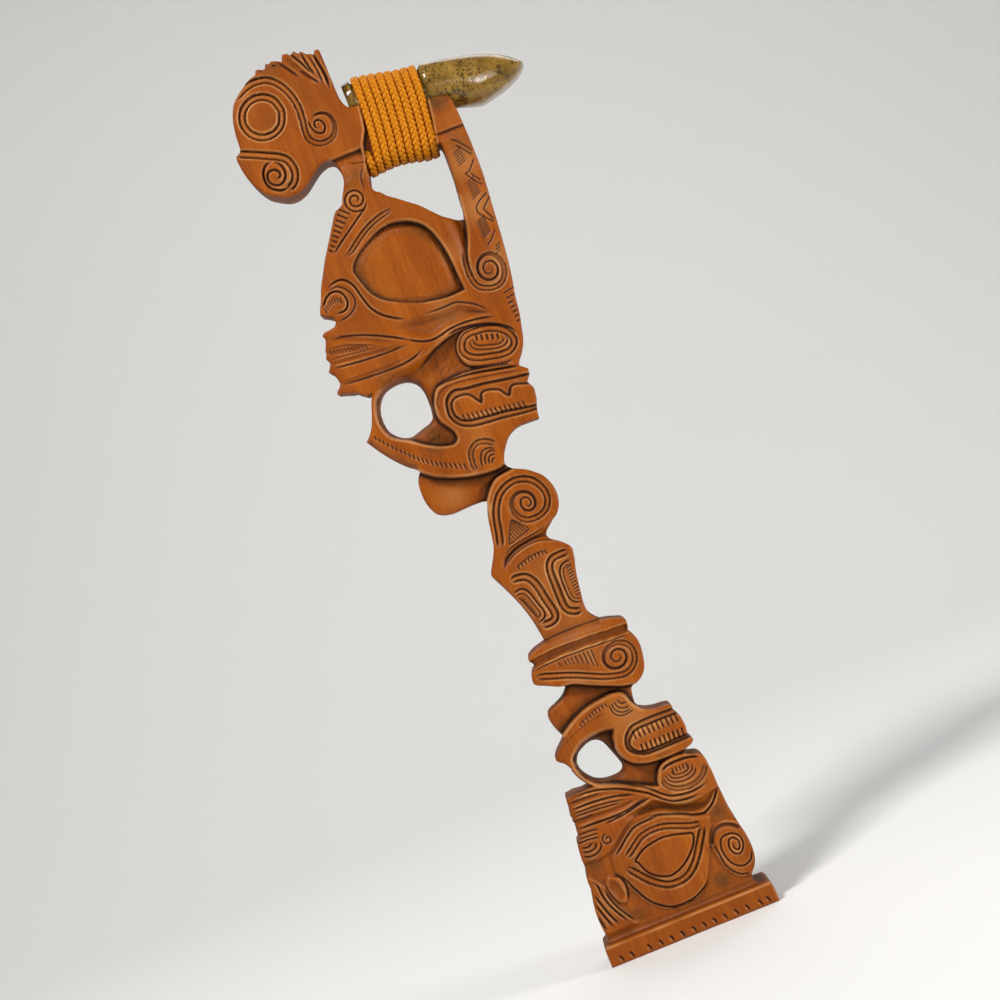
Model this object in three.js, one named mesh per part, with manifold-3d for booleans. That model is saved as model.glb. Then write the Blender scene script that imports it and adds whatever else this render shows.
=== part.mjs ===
// A ceremonial stone adze: one carved wooden haft, a stone blade and the cord that lashes them together.
// Millimetres. Z runs up the haft from the underside of its plinth, X towards the blade's tip,
// and Y through the plank, with the carved front face towards -Y.

import * as THREE from 'three';
import * as BufferGeometryUtils from 'three/addons/utils/BufferGeometryUtils.js';
import Module from 'manifold-3d';

const wasm = await Module();
wasm.setup();

// The plank that the haft is cut from
const PLANK_THICKNESS = 34;
const NECK_DEPTH = 8; // how far the two napes lie behind the carved faces
const HOLLOW_DEPTH = 7.5; // the hollows round the two round holes
const SHALLOW_DEPTH = 4.4; // and where they run out to the right
const VALLEY_DEPTH = 6.4; // beside the strut
const VALLEY_SLOPE_DEPTH = 2.6; // on the slope that leads down to it
const EYE_DEPTH = 2; // groove round the disc of the great eye
const EYE_RIM_DEPTH = 5.2; // its deeper crescent at the right
const NOTCH_DEPTH = 4.8; // between the teardrop spiral and the panel under it
const COLLAR_DEPTH = 3.2; // grooves over and across the collar
const MOUTH_DEPTH = 3.2; // round the tongue
const LOWER_MOUTH_DEPTH = 2.8; // round the lower teeth
const BAND_DEPTH = 3; // hollows under the two long S-bands
const CHANNEL_DEPTH = 2.4; // broad carved channels
const CHANNEL_WIDTH = 4.6;
const NARROW_DEPTH = 1.9; // narrow carved channels
const NARROW_WIDTH = 3;
const SHELF_DEPTH = 4; // step under the head and under the end block
const SHELF_RUN = 14; // height over which that step runs out

// The plinth at the haft's foot
const PLINTH_LEFT = -52;
const PLINTH_RIGHT = 53;
const PLINTH_HEIGHT = 13.3;
const PLINTH_DEPTH = 42;
const PLINTH_CHAMFER = 2.4;

// The crossbar, thinned where the cord goes round it
const CROSSBAR_THICKNESS = 24;
const CROSSBAR_CORNER = 7;
const CRADLE_LIP = 5; // height of the cradle's sides beside the blade's underside, under the cord
const SHOULDER_RISE = 8.4; // height of the full plank above the blade's underside, left of the cord
const SEAT_CLEARANCE = 0.3; // between blade and cradle

// The cord
const CORD_DIAMETER = 4.1;
const TURN_GAP = 0.7; // between neighbouring turns, along X
const CORD_CLEARANCE = 0.35; // between the cord and what it goes round or into
const LASHING_LEFT = 0.35; // left side of the first full turn, at its top
const LASHING_WIDTH = 37.8; // from there to the right side of the last turn
const CORD_LEAN = 5.6; // how far the turns lean to the left at their foot
const LEAN_HEIGHT = 57; // height over which they lean, from the blade's top down
const TUCK_DROP = 8.7; // how far under the blade the first end comes out of the crossbar's front
const TUCK_OFFSET = 0.4; // how far that end stands off to the left of its turn
const CORD_SIDES = 6;
const STEPS_PER_TURN = 24;

// The blade: sections along X as [x, underside, top, half width]
const BLADE_SECTIONS = [
  [-6.3, 516.4, 538.2, 9.6],
  [-4, 514.4, 539.1, 10.4],
  [-1.4, 513.7, 540, 10.8],
  [-0.9, 513.5, 537.5, 10.8],
  [13, 510.3, 534.9, 10.8],
  [26, 507.2, 531.8, 10.8],
  [38.4, 504.2, 530.2, 10.8],
  [41.4, 503.6, 533.2, 11.6],
  [50.7, 501.4, 531.7, 13],
  [57.8, 499.2, 530.2, 14],
  [62.9, 497.8, 529.1, 14.8],
  [67.9, 496.9, 527.8, 15.5],
  [74, 498.2, 526.1, 16.2],
  [81.1, 499.9, 523.5, 16.9],
  [87.1, 501.8, 520.4, 17.3],
  [92.2, 503.9, 517, 17.5],
  [95.8, 506.2, 513.6, 17.4],
  [97.9, 508.6, 511.5, 17.2],
  [98.4, 509.7, 510.6, 17],
];
const LASHED_BLADE = [-0.9, 38.4]; // between these sections the blade is waisted for the cord
const BLADE_SIDES = 32;
const EDGE_BOW = 3; // how far the ends of the cutting edge lie behind its middle
const EDGE_BOW_START = 81;
const BEVEL_RUN = [53, 75]; // along these x the underside turns from round to flat
const SIDE_POWERS = { top: 2, roundUnderside: 2.4, flatUnderside: 4.2 }; // of the sections' superellipses

// Underside of the crossbar as [x, z]
const CROSSBAR_UNDERSIDE = [
  [-14, 485.2],
  [-6, 485.4],
  [0, 486.2],
  [8, 486.2],
  [15, 485.2],
  [20, 484],
  [25, 482.4],
  [30, 482],
  [42, 482],
];

// Outlines in the plank's plane. A curve runs smoothly through its points, edges are straight.
const curve = (...points) => ({ smooth: true, points });
const edges = (...points) => ({ smooth: false, points });

const bladeUndersideAt = (x) => interpolate(BLADE_SECTIONS.map((row) => [row[0], row[1]]), x);
const bladeTopAt = (x) => interpolate(BLADE_SECTIONS.map((row) => [row[0], row[2]]), x);
const undersideAt = (x) => interpolate(CROSSBAR_UNDERSIDE, x);

const CORD_RADIUS = CORD_DIAMETER / 2;
const TURN_PITCH = CORD_DIAMETER + TURN_GAP;
const FULL_TURNS = Math.floor((LASHING_WIDTH - CORD_DIAMETER) / TURN_PITCH) + 1;
const LAST_TURN = FULL_TURNS - 1;
const FIRST_TOP_X = LASHING_LEFT + CORD_RADIUS;
const SIDE_GAP = CORD_CLEARANCE;
const CRADLE_START = LASHING_LEFT - SIDE_GAP;
const CRADLE_UNDERSIDE = bladeUndersideAt(LASHING_LEFT);
const SHOULDER_HEIGHT = CRADLE_UNDERSIDE + SHOULDER_RISE;
const TUCK_HEIGHT = CRADLE_UNDERSIDE - TUCK_DROP;
const LEAN_START = bladeTopAt(0);
const END_BLOCK_LEFT = FIRST_TOP_X + LAST_TURN * TURN_PITCH + CORD_RADIUS + SIDE_GAP;
const CRADLE_END = [END_BLOCK_LEFT, bladeUndersideAt(END_BLOCK_LEFT) + CRADLE_LIP];

// The whole haft seen from the front, up its left side and down its right
const SILHOUETTE = [
  edges([PLINTH_LEFT + 3, PLINTH_HEIGHT - 2], [-49, PLINTH_HEIGHT]),
  curve([-49, PLINTH_HEIGHT], [-49.2, 22], [-49, 32], [-47.6, 41], [-46.5, 50], [-45.4, 58], [-45, 66],
    [-44, 73.3]),
  // ends of the lower beard
  edges([-42, 75], [-41.4, 78.5], [-42, 81.5], [-41, 84], [-41.5, 87.2], [-40.6, 89.3], [-41.6, 91.8]),
  edges([-40.8, 95], [-40, 98], [-40.3, 101], [-31, 101.2], [-22.5, 101.6]),
  // left side of the lower round hole, out to its point
  curve([-22.5, 101.6], [-26, 106], [-28.8, 111], [-30.2, 116], [-32.5, 119.8], [-36, 122.2],
    [-37.6, 123.8]),
  curve([-37.6, 123.8], [-33, 129], [-28, 133.3]),
  // lower nape
  curve([-28, 133.3], [-30, 137.5], [-31.5, 143], [-32, 148], [-29.8, 151.4], [-24, 153.8],
    [-18.5, 156.5], [-16, 160.8]),
  // hooked collar
  curve([-16, 160.8], [-21, 163.6], [-27, 166.6], [-32, 168.2]),
  edges([-32.8, 170.5], [-32, 173.5], [-30.4, 177.2], [-28, 178.2], [-28.4, 180.5], [-30.2, 183.2]),
  curve([-30.2, 183.2], [-28.5, 186.3], [-24, 188.3], [-18, 189.7]),
  edges([-18.2, 193], [-18.4, 197]),
  // waist
  curve([-18.4, 197], [-20, 205], [-22.5, 214], [-25.5, 222.5], [-28.8, 230], [-31.6, 236.5]),
  curve([-31.6, 236.5], [-31.3, 239.2], [-28.5, 244], [-25.2, 250], [-23.2, 256.5], [-21.5, 268],
    [-19, 279.8]),
  // upper nape
  curve([-19, 279.8], [-27, 280.2], [-37, 279.6], [-45, 281], [-49.5, 285], [-51.6, 292], [-52, 298.5],
    [-50.6, 305], [-47.8, 309.8]),
  // jaw, out to its point
  curve([-47.8, 309.8], [-50.5, 312.6], [-54.5, 315.6], [-60.5, 322], [-66, 329.5], [-70.4, 337]),
  curve([-70.4, 337], [-68.5, 339.3], [-65.5, 343], [-62.6, 349], [-60.6, 355], [-58, 360], [-56.5, 362.3]),
  // ends of the upper beard
  edges([-61, 362.3], [-64.2, 364.5], [-64.6, 366.5], [-69, 367.2], [-75.5, 369.4], [-74.6, 371.5],
    [-72, 373.6]),
  edges([-71.3, 375.5], [-72.2, 379], [-75.6, 383.5], [-73.2, 386], [-73.8, 391], [-72.4, 395.5],
    [-70.6, 400]),
  edges([-71.3, 404.2], [-69.4, 406.2], [-62.5, 406.6], [-60.6, 409], [-62, 412.6], [-67.6, 416]),
  // cheek and back of the neck
  curve([-67.6, 416], [-65.6, 421], [-61.5, 430], [-57, 438.4], [-52.6, 446], [-48.5, 452], [-41, 462],
    [-35, 470]),
  curve([-35, 470], [-31.2, 470.4], [-30.3, 473], [-28.5, 476.5], [-26.8, 480], [-25.6, 484],
    [-25.2, 490], [-26, 496], [-28.3, 498.3]),
  // head, clockwise from under its chin
  curve([-28.3, 498.3], [-33, 498.2], [-37.5, 496.3], [-42, 493.2], [-46.5, 490], [-51.5, 487.6],
    [-57, 486.8], [-62.5, 488], [-68, 491.4], [-72.5, 496], [-75.6, 502], [-77.6, 509], [-78.6, 516],
    [-78.8, 520.2]),
  edges([-76.8, 522.4], [-74.8, 524]),
  curve([-74.8, 524], [-74.4, 530], [-73.4, 536], [-71.6, 542.5], [-68.5, 548.8], [-64, 553.8],
    [-58.5, 557.4], [-50, 560.6]),
  // crest
  edges([-49.2, 563.4], [-47, 562.4], [-43.6, 561.6], [-42.2, 564.6], [-40.6, 563.6], [-38.4, 564.8],
    [-34.5, 563]),
  edges([-33, 562.2], [-31.4, 566], [-28.8, 565.6], [-27.4, 564], [-25.4, 565.4], [-23, 563.2],
    [-20.8, 563.6]),
  edges([-18.6, 560.8], [-15.4, 560], [-13.2, 561.6], [-11, 561.2], [-10.1, 559.5], [-10, 533]),
  curve([-10, 533], [-9.4, 528], [-7.6, 523.6]),
  // crossbar, with its cradle's sides lower under the cord
  edges([CRADLE_START, SHOULDER_HEIGHT], [CRADLE_START, CRADLE_UNDERSIDE + CRADLE_LIP], CRADLE_END),
  edges([END_BLOCK_LEFT, 510.6], [50, 507.6], [51.2, 505], [51.9, 497], [51.9, 487.6]),
  // strut and cheek
  curve([51.9, 487.6], [52.2, 478], [51.3, 455], [49.2, 430], [46.6, 408], [43.4, 389], [40.2, 370],
    [38, 361], [34.6, 354.4], [30.8, 349]),
  // upper mouth
  edges([29.2, 345.8], [33.8, 342], [33.4, 339], [30.6, 335.4], [32.4, 330.6], [31.2, 324], [29.6, 317.6],
    [28.4, 312.8]),
  curve([28.4, 312.8], [17, 312.4], [11, 310.3], [6.5, 306], [3.2, 300.5], [0.2, 294.5], [2.6, 291.6]),
  // spiral below the jaw
  curve([2.6, 291.6], [7, 289.5], [11, 287.8], [15, 285], [18.5, 281.5], [20.6, 277], [21.7, 271.5],
    [21.3, 266], [19.7, 261], [17, 257], [14.2, 254.5], [8.3, 250.4], [7.1, 247.8], [10.5, 243]),
  curve([10.5, 243], [14.5, 240.3], [17.4, 237], [18, 234.8]),
  curve([18, 234.8], [15.2, 221], [12.6, 206], [12.1, 200.5], [13, 196.5], [15.4, 192.8], [18.4, 190.2]),
  // collar and hook
  edges([24, 188.8], [30, 186.6], [31.4, 184.6], [31, 181.5], [30, 178.3]),
  curve([30, 178.3], [32.4, 175], [33.6, 170.5], [33.5, 165], [32.4, 159.5], [30.2, 154.5], [27, 151],
    [20.6, 147]),
  curve([20.6, 147], [19.3, 144.5], [18.6, 140], [18.8, 135.5], [19.8, 133.4]),
  curve([19.8, 133.4], [23.5, 131.3], [29, 130.1], [37.2, 129]),
  // lower mouth
  edges([38.2, 127.5], [36.8, 125.2], [38.6, 122.5], [40, 118], [40.2, 113], [39.6, 109.4], [41.9, 106.2]),
  edges([41.4, 104.2], [37, 102.6], [34.6, 101], [34.2, 99.4], [36, 98.2]),
  // right side of the base
  curve([36, 98.2], [40.5, 97], [43.4, 94.4], [44.6, 90], [45.2, 77], [45.8, 69], [47.6, 54.5],
    [49.4, 47.5], [50.2, 40], [50, 32.5], [48.8, 26.5], [46.4, 22.6], [44.2, 20.2]),
  edges([43.4, 17.6], [44, 15], [46, PLINTH_HEIGHT], [PLINTH_RIGHT - 3, PLINTH_HEIGHT - 2]),
];

// The two round holes and the open space between neck, crossbar, strut and brow
const UPPER_HOLE = [
  curve([-58.9, 345], [-58.4, 350.5], [-56.6, 355.5], [-53.6, 359.6], [-49.8, 362.4], [-45, 363.8],
    [-40, 364.1], [-35, 363.3], [-31, 361], [-28.3, 357.8], [-26.8, 353], [-26.4, 347], [-27, 340],
    [-29, 334], [-35, 330.8], [-40, 329.8], [-45, 329.4], [-49, 330.2], [-53, 333], [-56.5, 337],
    [-58.4, 341], [-58.9, 345]),
];
const LOWER_HOLE = [
  curve([-28.3, 117], [-27.4, 111.5], [-24.6, 106.2], [-20.8, 102.6], [-16, 100.6], [-11, 100],
    [-6, 100.4], [-2.6, 102.2], [-1.2, 105.2], [-2, 110], [-3.6, 115], [-5.2, 120], [-7.2, 123.8],
    [-11, 126.4], [-16, 127], [-21, 125.4], [-25.4, 122.2], [-28.3, 117]),
];
const UNDERSIDE_MARGIN = 1.5; // the outline runs this far below the crossbar, whose own solid trims it
const BRACE_GAP = [
  edges([-10, 483.6], [0, undersideAt(0) - UNDERSIDE_MARGIN], [8, undersideAt(8) - UNDERSIDE_MARGIN]),
  edges([20, undersideAt(20) - UNDERSIDE_MARGIN], [30, undersideAt(30) - UNDERSIDE_MARGIN], [34.6, 482]),
  curve([34.6, 482], [35.6, 475], [35.3, 468], [34.5, 460], [33, 445], [31.5, 438.5]),
  curve([31.5, 438.5], [28.5, 438.5], [24.5, 441], [20, 443.5]),
  curve([20, 443.5], [15, 449], [10, 455], [5, 459], [0, 463], [-5, 466.8], [-8.5, 469.5], [-11, 473],
    [-12, 477], [-11.5, 481], [-10, 483.6]),
];

// Lower ground of the relief, the same on both faces. Where a region ends at the silhouette it runs past it.
const UPPER_NAPE = [
  edges([-52, 312], [-48.3, 311.3]),
  curve([-48.3, 311.3], [-44, 308.6], [-38, 305], [-32, 301.8], [-26, 299.2], [-20, 297.2], [-15, 296],
    [-5, 295.3]),
  edges([4, 297], [8, 290.5], [2, 289.4]),
  curve([2, 289.4], [-4, 288], [-9, 285.6], [-13, 282.4], [-16.4, 278.6], [-19.4, 272]),
  edges([-22, 272], [-24, 276], [-60, 276], [-60, 306]),
];
const LOWER_NAPE = [
  edges([-34, 134.5], [-28.4, 134]),
  curve([-28.4, 134], [-22, 138], [-15, 141.5], [-8, 144], [0, 145.3], [7, 145.6], [11, 145],
    [13.4, 143.2]),
  curve([13.4, 143.2], [14.4, 140.6], [16.4, 137.2], [19.6, 133.8]),
  edges([24, 135], [24, 147.4]),
  curve([24, 147.4], [20, 148.8], [10, 152], [0, 155.7], [-10, 160.3], [-16.5, 162.4]),
  edges([-22, 162.4], [-36, 160]),
];
const UPPER_HOLLOW = [
  curve([-59.6, 345], [-58.6, 352.5], [-55.6, 359.2], [-50.5, 365.4], [-44, 368.6], [-35, 369.8],
    [-25, 371], [-15, 374], [-5, 377]),
  curve([-5, 377], [-1, 372], [-0.8, 366], [0.8, 359], [3, 355.4]),
  curve([3, 355.4], [1, 351], [-6, 350.8], [-13, 350.6], [-19, 349], [-23.3, 345.6], [-25.6, 340.5],
    [-25.8, 335], [-23.8, 330], [-20.8, 325.4], [-19.4, 321.4], [-21, 318], [-25.5, 317], [-31, 318.6],
    [-38, 322.2], [-45, 327]),
  curve([-45, 327], [-50, 329.6], [-55.5, 334.6], [-58.8, 340], [-59.6, 345]),
];
const LOWER_HOLLOW = [
  curve([-28.9, 115], [-28.9, 120], [-27, 124], [-23, 127.4], [-17.5, 129.8], [-11, 130.8], [-5, 130.8],
    [0, 129.8], [1.8, 128.2]),
  curve([1.8, 128.2], [1.2, 125], [-0.8, 120.5], [-1.9, 116.5], [-1.6, 112.5], [0.2, 108.5], [3, 105.8],
    [7, 103.8], [12, 102.4], [18, 101.6], [26, 101.4], [40, 102.4]),
  edges([40, 99.4], [31, 98.9]),
  curve([31, 98.9], [24, 98.6], [20, 97.8], [17, 95.8], [14.6, 92.5], [13.4, 87]),
  curve([13.4, 87], [8, 88.3], [0, 92.8], [-5, 95.2], [-10, 97.2], [-19, 100.4], [-22.9, 103.4],
    [-26.4, 108.2], [-28.9, 115]),
];
const STRUT_HOLLOW = [
  edges([33.5, 446], [19.6, 446]),
  curve([19.6, 446], [19.4, 424], [19.2, 412], [20.2, 405], [22.6, 404.4]),
  curve([22.6, 404.4], [24.4, 410], [27, 417], [29.4, 424], [31, 431], [31.8, 438], [33.5, 446]),
];

// The great eye: its almond opening, and the disc left standing in it
const EYE_ALMOND = [
  curve([-41, 433.5], [-38, 437.5], [-34, 441], [-28, 445], [-22, 448], [-16, 450], [-8, 450.6],
    [0, 448.8], [5, 445.6], [9, 441], [12, 435], [14.2, 428], [15.6, 420], [16.3, 410], [16.8, 399]),
  curve([16.8, 399], [10, 398.4], [5, 398], [0, 398.4], [-10, 401], [-22, 406], [-28, 409], [-32, 412],
    [-35, 416], [-37.5, 421], [-39.5, 427], [-41, 433.5]),
];
const EYE_DISC = [
  curve([-35, 427], [-33, 435], [-27, 440.6], [-19, 443.6], [-10, 443.8], [-2, 441.4], [4.6, 436],
    [8.6, 428], [10.6, 419], [11.4, 409], [10.6, 403.6], [4, 402], [-6, 403], [-16, 406.4], [-26, 411.4],
    [-32, 418], [-35, 427]),
];

// Where the crescent at the eye's right is not cut
const EYE_SLOPE = [
  curve([-46, 433], [-30, 449], [-14, 453.4], [-4, 448.4], [3, 443.6], [7.4, 437.6], [10.4, 430],
    [12, 420], [12.8, 410], [13, 402], [4, 401.2], [-6, 402.8], [-14, 405.2], [-22, 405], [-38, 408],
    [-46, 433]),
];

// Where the hollows are shallow
const UPPER_SHALLOWS = [edges([-6, 340], [12, 340], [12, 390], [-6, 390])];
const LOWER_SHALLOWS = [edges([17, 96], [50, 96], [50, 106], [17, 106])];
const STRUT_SLOPE = [edges([12, 450], [25.5, 450], [24.6, 424], [21.4, 408], [20.6, 400], [12, 400])];

// Between the teardrop spiral and the panel, wider towards the right
const NOTCH = [
  curve([-22.4, 237.2], [-18, 240.4], [-12, 242.8], [-5, 244], [0, 244.1], [5, 243.2], [10, 241.6],
    [16, 238]),
  edges([24, 240], [24, 256]),
  curve([13.6, 256], [8, 253.6], [2, 251.9], [-5, 250.4], [-12, 249.2], [-17, 246.2], [-20.6, 241.6],
    [-22.4, 237.2]),
];

// Across the haft over the collar, and along the collar
const COLLAR_COVE = [edges([-24, 189.6], [24, 189.8], [24, 193.2], [-24, 193])];
const COLLAR_GROOVE = [
  edges([-36, 178.2], [-10, 179.8], [10, 179], [36, 177.6], [36, 182.2], [10, 183.4], [-10, 184.2],
    [-36, 183]),
];

// The two mouths, each with what is left standing in it
const MOUTH = [
  curve([-20.3, 335], [-19.4, 341], [-17, 344.8], [-12, 346.8], [-5, 345.8], [5, 344.6], [15, 342.8],
    [25, 341], [38, 339.2]),
  curve([38, 318.2], [28, 318], [16, 319], [8, 320.2], [0, 321], [-8, 322.2], [-14, 324.4],
    [-18.2, 328.4], [-20.3, 335]),
];
const TONGUE = [
  curve([-16, 336], [-15, 339.4], [-12, 341.2], [-7, 340.8], [-3.4, 338.6], [0.4, 333.8], [3, 337.6],
    [6, 338.4], [10, 337.4], [13.4, 335.4], [17.2, 331.4], [20.4, 334.8], [28, 333.8], [40, 330.6]),
  curve([40, 321], [24, 322.4], [10, 325], [-5, 326.8], [-13, 329.4], [-16, 336]),
];
const LOWER_MOUTH = [
  curve([46, 127], [25, 127.4], [13, 127], [7.8, 124.6], [4.4, 120.6], [3.4, 116], [4.6, 112.2],
    [8, 109.2], [13, 107.2], [22, 106.6], [46, 107.2]),
];
const LOWER_TEETH = [
  curve([46, 122.4], [25, 122.6], [14, 122.4], [9.6, 120.4], [7.2, 116.6], [8.8, 112], [13, 110.2],
    [22, 109.8], [46, 110.2]),
];

// Hollows under the long S-bands of the cheek and of the base
const CHEEK_HOLLOW = [
  curve([-38, 398], [-30, 396], [-22, 394.8], [-12, 394], [-4, 393], [4, 393], [10, 392.6], [16, 390],
    [21, 387], [25.6, 381.6]),
  curve([25.6, 381.6], [18, 380.4], [8, 381.6], [0, 381.2], [-6, 380], [-12, 379.4], [-18, 381.6],
    [-25, 386], [-32, 391], [-38, 398]),
];
const BASE_HOLLOW = [
  curve([-6, 78], [0, 80.4], [6, 80], [12, 76.6], [18, 73.4], [24, 72.4], [31, 72.4], [37, 73.8],
    [43, 75.4]),
  curve([43, 75.4], [39, 69.4], [34, 66], [29, 65], [24, 66], [18, 68.6], [12, 71.4], [5, 73.6],
    [0, 74.8], [-6, 78]),
];

const around = ([x, z], radius, sides) => Array.from({ length: sides }, (_, i) => {
  const angle = (2 * Math.PI * i) / sides;
  return [x + radius * Math.cos(angle), z + radius * Math.sin(angle)];
});

// The ring round the head's disc
const HEAD_DISC = [-55.8, 535.9];
const RING_RADII = [9.6, 14];
const RING_SIDES = 28;
const HEAD_RING = [edges(...around(HEAD_DISC, RING_RADII[1], RING_SIDES))];
const HEAD_RING_DISC = [edges(...around(HEAD_DISC, RING_RADII[0], RING_SIDES))];

// The outline of a band of even width along points, with square ends
function band(points, width) {
  const beside = (side) => points.map(([x, z], i) => {
    const [startX, startZ] = points[Math.max(0, i - 1)];
    const [endX, endZ] = points[Math.min(points.length - 1, i + 1)];
    const offset = (side * width) / 2 / Math.hypot(endX - startX, endZ - startZ);
    return [x - offset * (endZ - startZ), z + offset * (endX - startX)];
  });
  return [edges(...beside(1), ...beside(-1).reverse())];
}

const broad = (...points) => ({ depth: CHANNEL_DEPTH, region: band(points, CHANNEL_WIDTH) });
const narrow = (...points) => ({ depth: NARROW_DEPTH, region: band(points, NARROW_WIDTH) });

// The relief of both faces, from the head down: each cut has its depth, its region and any island left in it
const RELIEF = [
  { depth: CHANNEL_DEPTH, region: HEAD_RING, island: HEAD_RING_DISC },
  // scroll from the head's top to its back
  broad([-68.5, 548.4], [-64, 552.6], [-59, 555.2], [-53, 556.4], [-46, 555.2], [-41, 551], [-37, 545.5],
    [-35, 539], [-34.3, 532], [-35, 525.5], [-36, 519.5], [-35.8, 514], [-33, 510.2], [-28.5, 508.8],
    [-23, 509.8], [-19, 513], [-17.6, 518], [-18.8, 523], [-22.6, 526], [-27.4, 526.2]),
  // scroll from its brow to its chin
  broad([-80, 522.6], [-73, 519.4], [-67, 516.8], [-61, 513.8], [-56, 511], [-51.8, 507.5],
    [-49.8, 502.5], [-50.3, 497.5], [-53, 493.5], [-57.5, 491.5], [-62, 492], [-66, 494.5],
    [-68.8, 498.5], [-69, 503], [-66.5, 507]),
  // band over the great eye
  narrow([-5, 458], [-14, 456.5], [-20, 454.5], [-26, 451.5], [-32, 447.5], [-37, 444], [-42, 442]),
  { depth: EYE_DEPTH, region: EYE_ALMOND, island: EYE_DISC },
  { depth: EYE_RIM_DEPTH, region: EYE_ALMOND, island: EYE_SLOPE },
  // strut's valley and the spiral at its foot
  { depth: VALLEY_DEPTH, region: STRUT_HOLLOW, island: STRUT_SLOPE },
  { depth: VALLEY_SLOPE_DEPTH, region: STRUT_HOLLOW },
  narrow([21.6, 406], [23.2, 401.5], [26, 397.5], [30, 395], [34.5, 393.8], [38.5, 395], [41.3, 399],
    [42, 404], [41, 408.6], [38, 412], [33.6, 412.6], [29.8, 410.4]),
  { depth: BAND_DEPTH, region: CHEEK_HOLLOW },
  // over the toothed oval of the cheek
  narrow([-2, 376.2], [6, 376.8], [14, 376], [22, 373.8], [29, 370], [33, 365.6]),
  { depth: HOLLOW_DEPTH, region: UPPER_HOLLOW, island: UPPER_SHALLOWS },
  { depth: SHALLOW_DEPTH, region: UPPER_HOLLOW },
  { depth: MOUTH_DEPTH, region: MOUTH, island: TONGUE },
  { depth: NECK_DEPTH, region: UPPER_NAPE },
  // teardrop spiral
  broad([-20.6, 250.8], [-19.3, 256], [-17.2, 266], [-15.5, 271], [-13, 276], [-9.5, 280.3], [-5, 283],
    [0, 284.3], [5, 283.8], [10, 281.5], [13.5, 277.5], [15.3, 272.5], [15.2, 267.5], [13, 263],
    [9, 260.5], [5, 259.5], [0, 260], [-3.5, 263], [-5.5, 267], [-5.5, 271.5]),
  { depth: NOTCH_DEPTH, region: NOTCH },
  // hooked channels of the panel
  broad([-22.5, 229], [-18, 230], [-13, 229], [-10.5, 226], [-9.5, 221], [-7.5, 210], [-6.2, 205],
    [-7, 201], [-11, 199.3], [-16, 199]),
  broad([15.2, 234], [9, 234.5], [4, 233.5], [1.5, 230.5], [0.3, 226], [0, 211], [0.3, 206], [1.5, 203],
    [5, 201.2], [10.4, 200.3]),
  { depth: COLLAR_DEPTH, region: COLLAR_COVE },
  { depth: COLLAR_DEPTH, region: COLLAR_GROOVE },
  // hook
  narrow([-14, 168.5], [-8, 166], [0, 162], [7, 158.8], [13, 156.8], [19, 155.8], [24, 157.5],
    [27.5, 161.5], [28.3, 167], [26.5, 171.5], [22, 174.3], [17, 174.4], [13, 172.3], [10.8, 169],
    [10.8, 165.2]),
  { depth: NECK_DEPTH, region: LOWER_NAPE },
  { depth: LOWER_MOUTH_DEPTH, region: LOWER_MOUTH, island: LOWER_TEETH },
  { depth: HOLLOW_DEPTH, region: LOWER_HOLLOW, island: LOWER_SHALLOWS },
  { depth: SHALLOW_DEPTH, region: LOWER_HOLLOW },
  // under the base's toothed oval
  narrow([14.5, 89.4], [17, 84], [22, 81], [28, 79.8], [35, 80.5], [39.6, 83.6], [42.6, 88]),
  { depth: BAND_DEPTH, region: BASE_HOLLOW },
  // over and under the base's eye
  narrow([-23, 54.4], [-17, 57], [-12, 61], [-8, 63.6], [-2, 65.4], [5, 65.4], [11, 63.6], [18, 61],
    [24, 58.8], [30, 58.2]),
  narrow([-23, 48.5], [-20, 44], [-15, 37.5], [-10, 33], [-4, 30.5], [2, 30.2], [8, 31.2], [13, 34.2],
    [18, 39.6], [22.4, 46], [26.4, 52]),
  // leaf at the base's left
  broad([-33.6, 47], [-32.4, 43], [-31, 38], [-29.6, 34]),
];

// Shelves under the head and under the end block, each as [left, right, top]
const SHELVES = [
  [-30, -7, 498],
  [36, 54, 488.4],
];

const MARGIN = 6; // how far a cutter stands out of what it cuts
const OVERLAP = 1; // how much deeper than its cut an island is kept, so that nothing thin is left round it

function interpolate(rows, x) {
  if (x <= rows[0][0]) return rows[0][1];
  for (let i = 1; i < rows.length; i += 1) {
    const [x0, z0] = rows[i - 1];
    const [x1, z1] = rows[i];
    if (x <= x1) return z0 + ((z1 - z0) * (x - x0)) / (x1 - x0);
  }
  return rows[rows.length - 1][1];
}

function shapeOf(stretches) {
  const shape = new THREE.Shape();
  const [startX, startZ] = stretches[0].points[0];
  shape.moveTo(startX, startZ);
  for (const { smooth, points } of stretches) {
    const vectors = points.map(([x, z]) => new THREE.Vector2(x, z));
    if (smooth) {
      shape.splineThru(vectors.slice(1));
    } else {
      for (const vector of vectors) {
        if (vector.distanceTo(shape.currentPoint) > 1e-6) shape.lineTo(vector.x, vector.y);
      }
    }
  }
  return shape;
}

// A manifold solid from a closed geometry, and back
function solidOf(geometry) {
  const bare = geometry.index ? geometry.toNonIndexed() : geometry.clone();
  bare.deleteAttribute('normal');
  bare.deleteAttribute('uv');
  const merged = BufferGeometryUtils.mergeVertices(bare, 1e-4);
  const vertProperties = new Float32Array(merged.attributes.position.array);
  const triVerts = new Uint32Array(merged.index.array);
  return new wasm.Manifold(new wasm.Mesh({ numProp: 3, vertProperties, triVerts }));
}

function geometryOf(solid) {
  const { vertProperties, triVerts } = solid.getMesh();
  const geometry = new THREE.BufferGeometry();
  geometry.setAttribute('position', new THREE.BufferAttribute(vertProperties, 3));
  geometry.setIndex(new THREE.BufferAttribute(triVerts, 1));
  return geometry;
}

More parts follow.
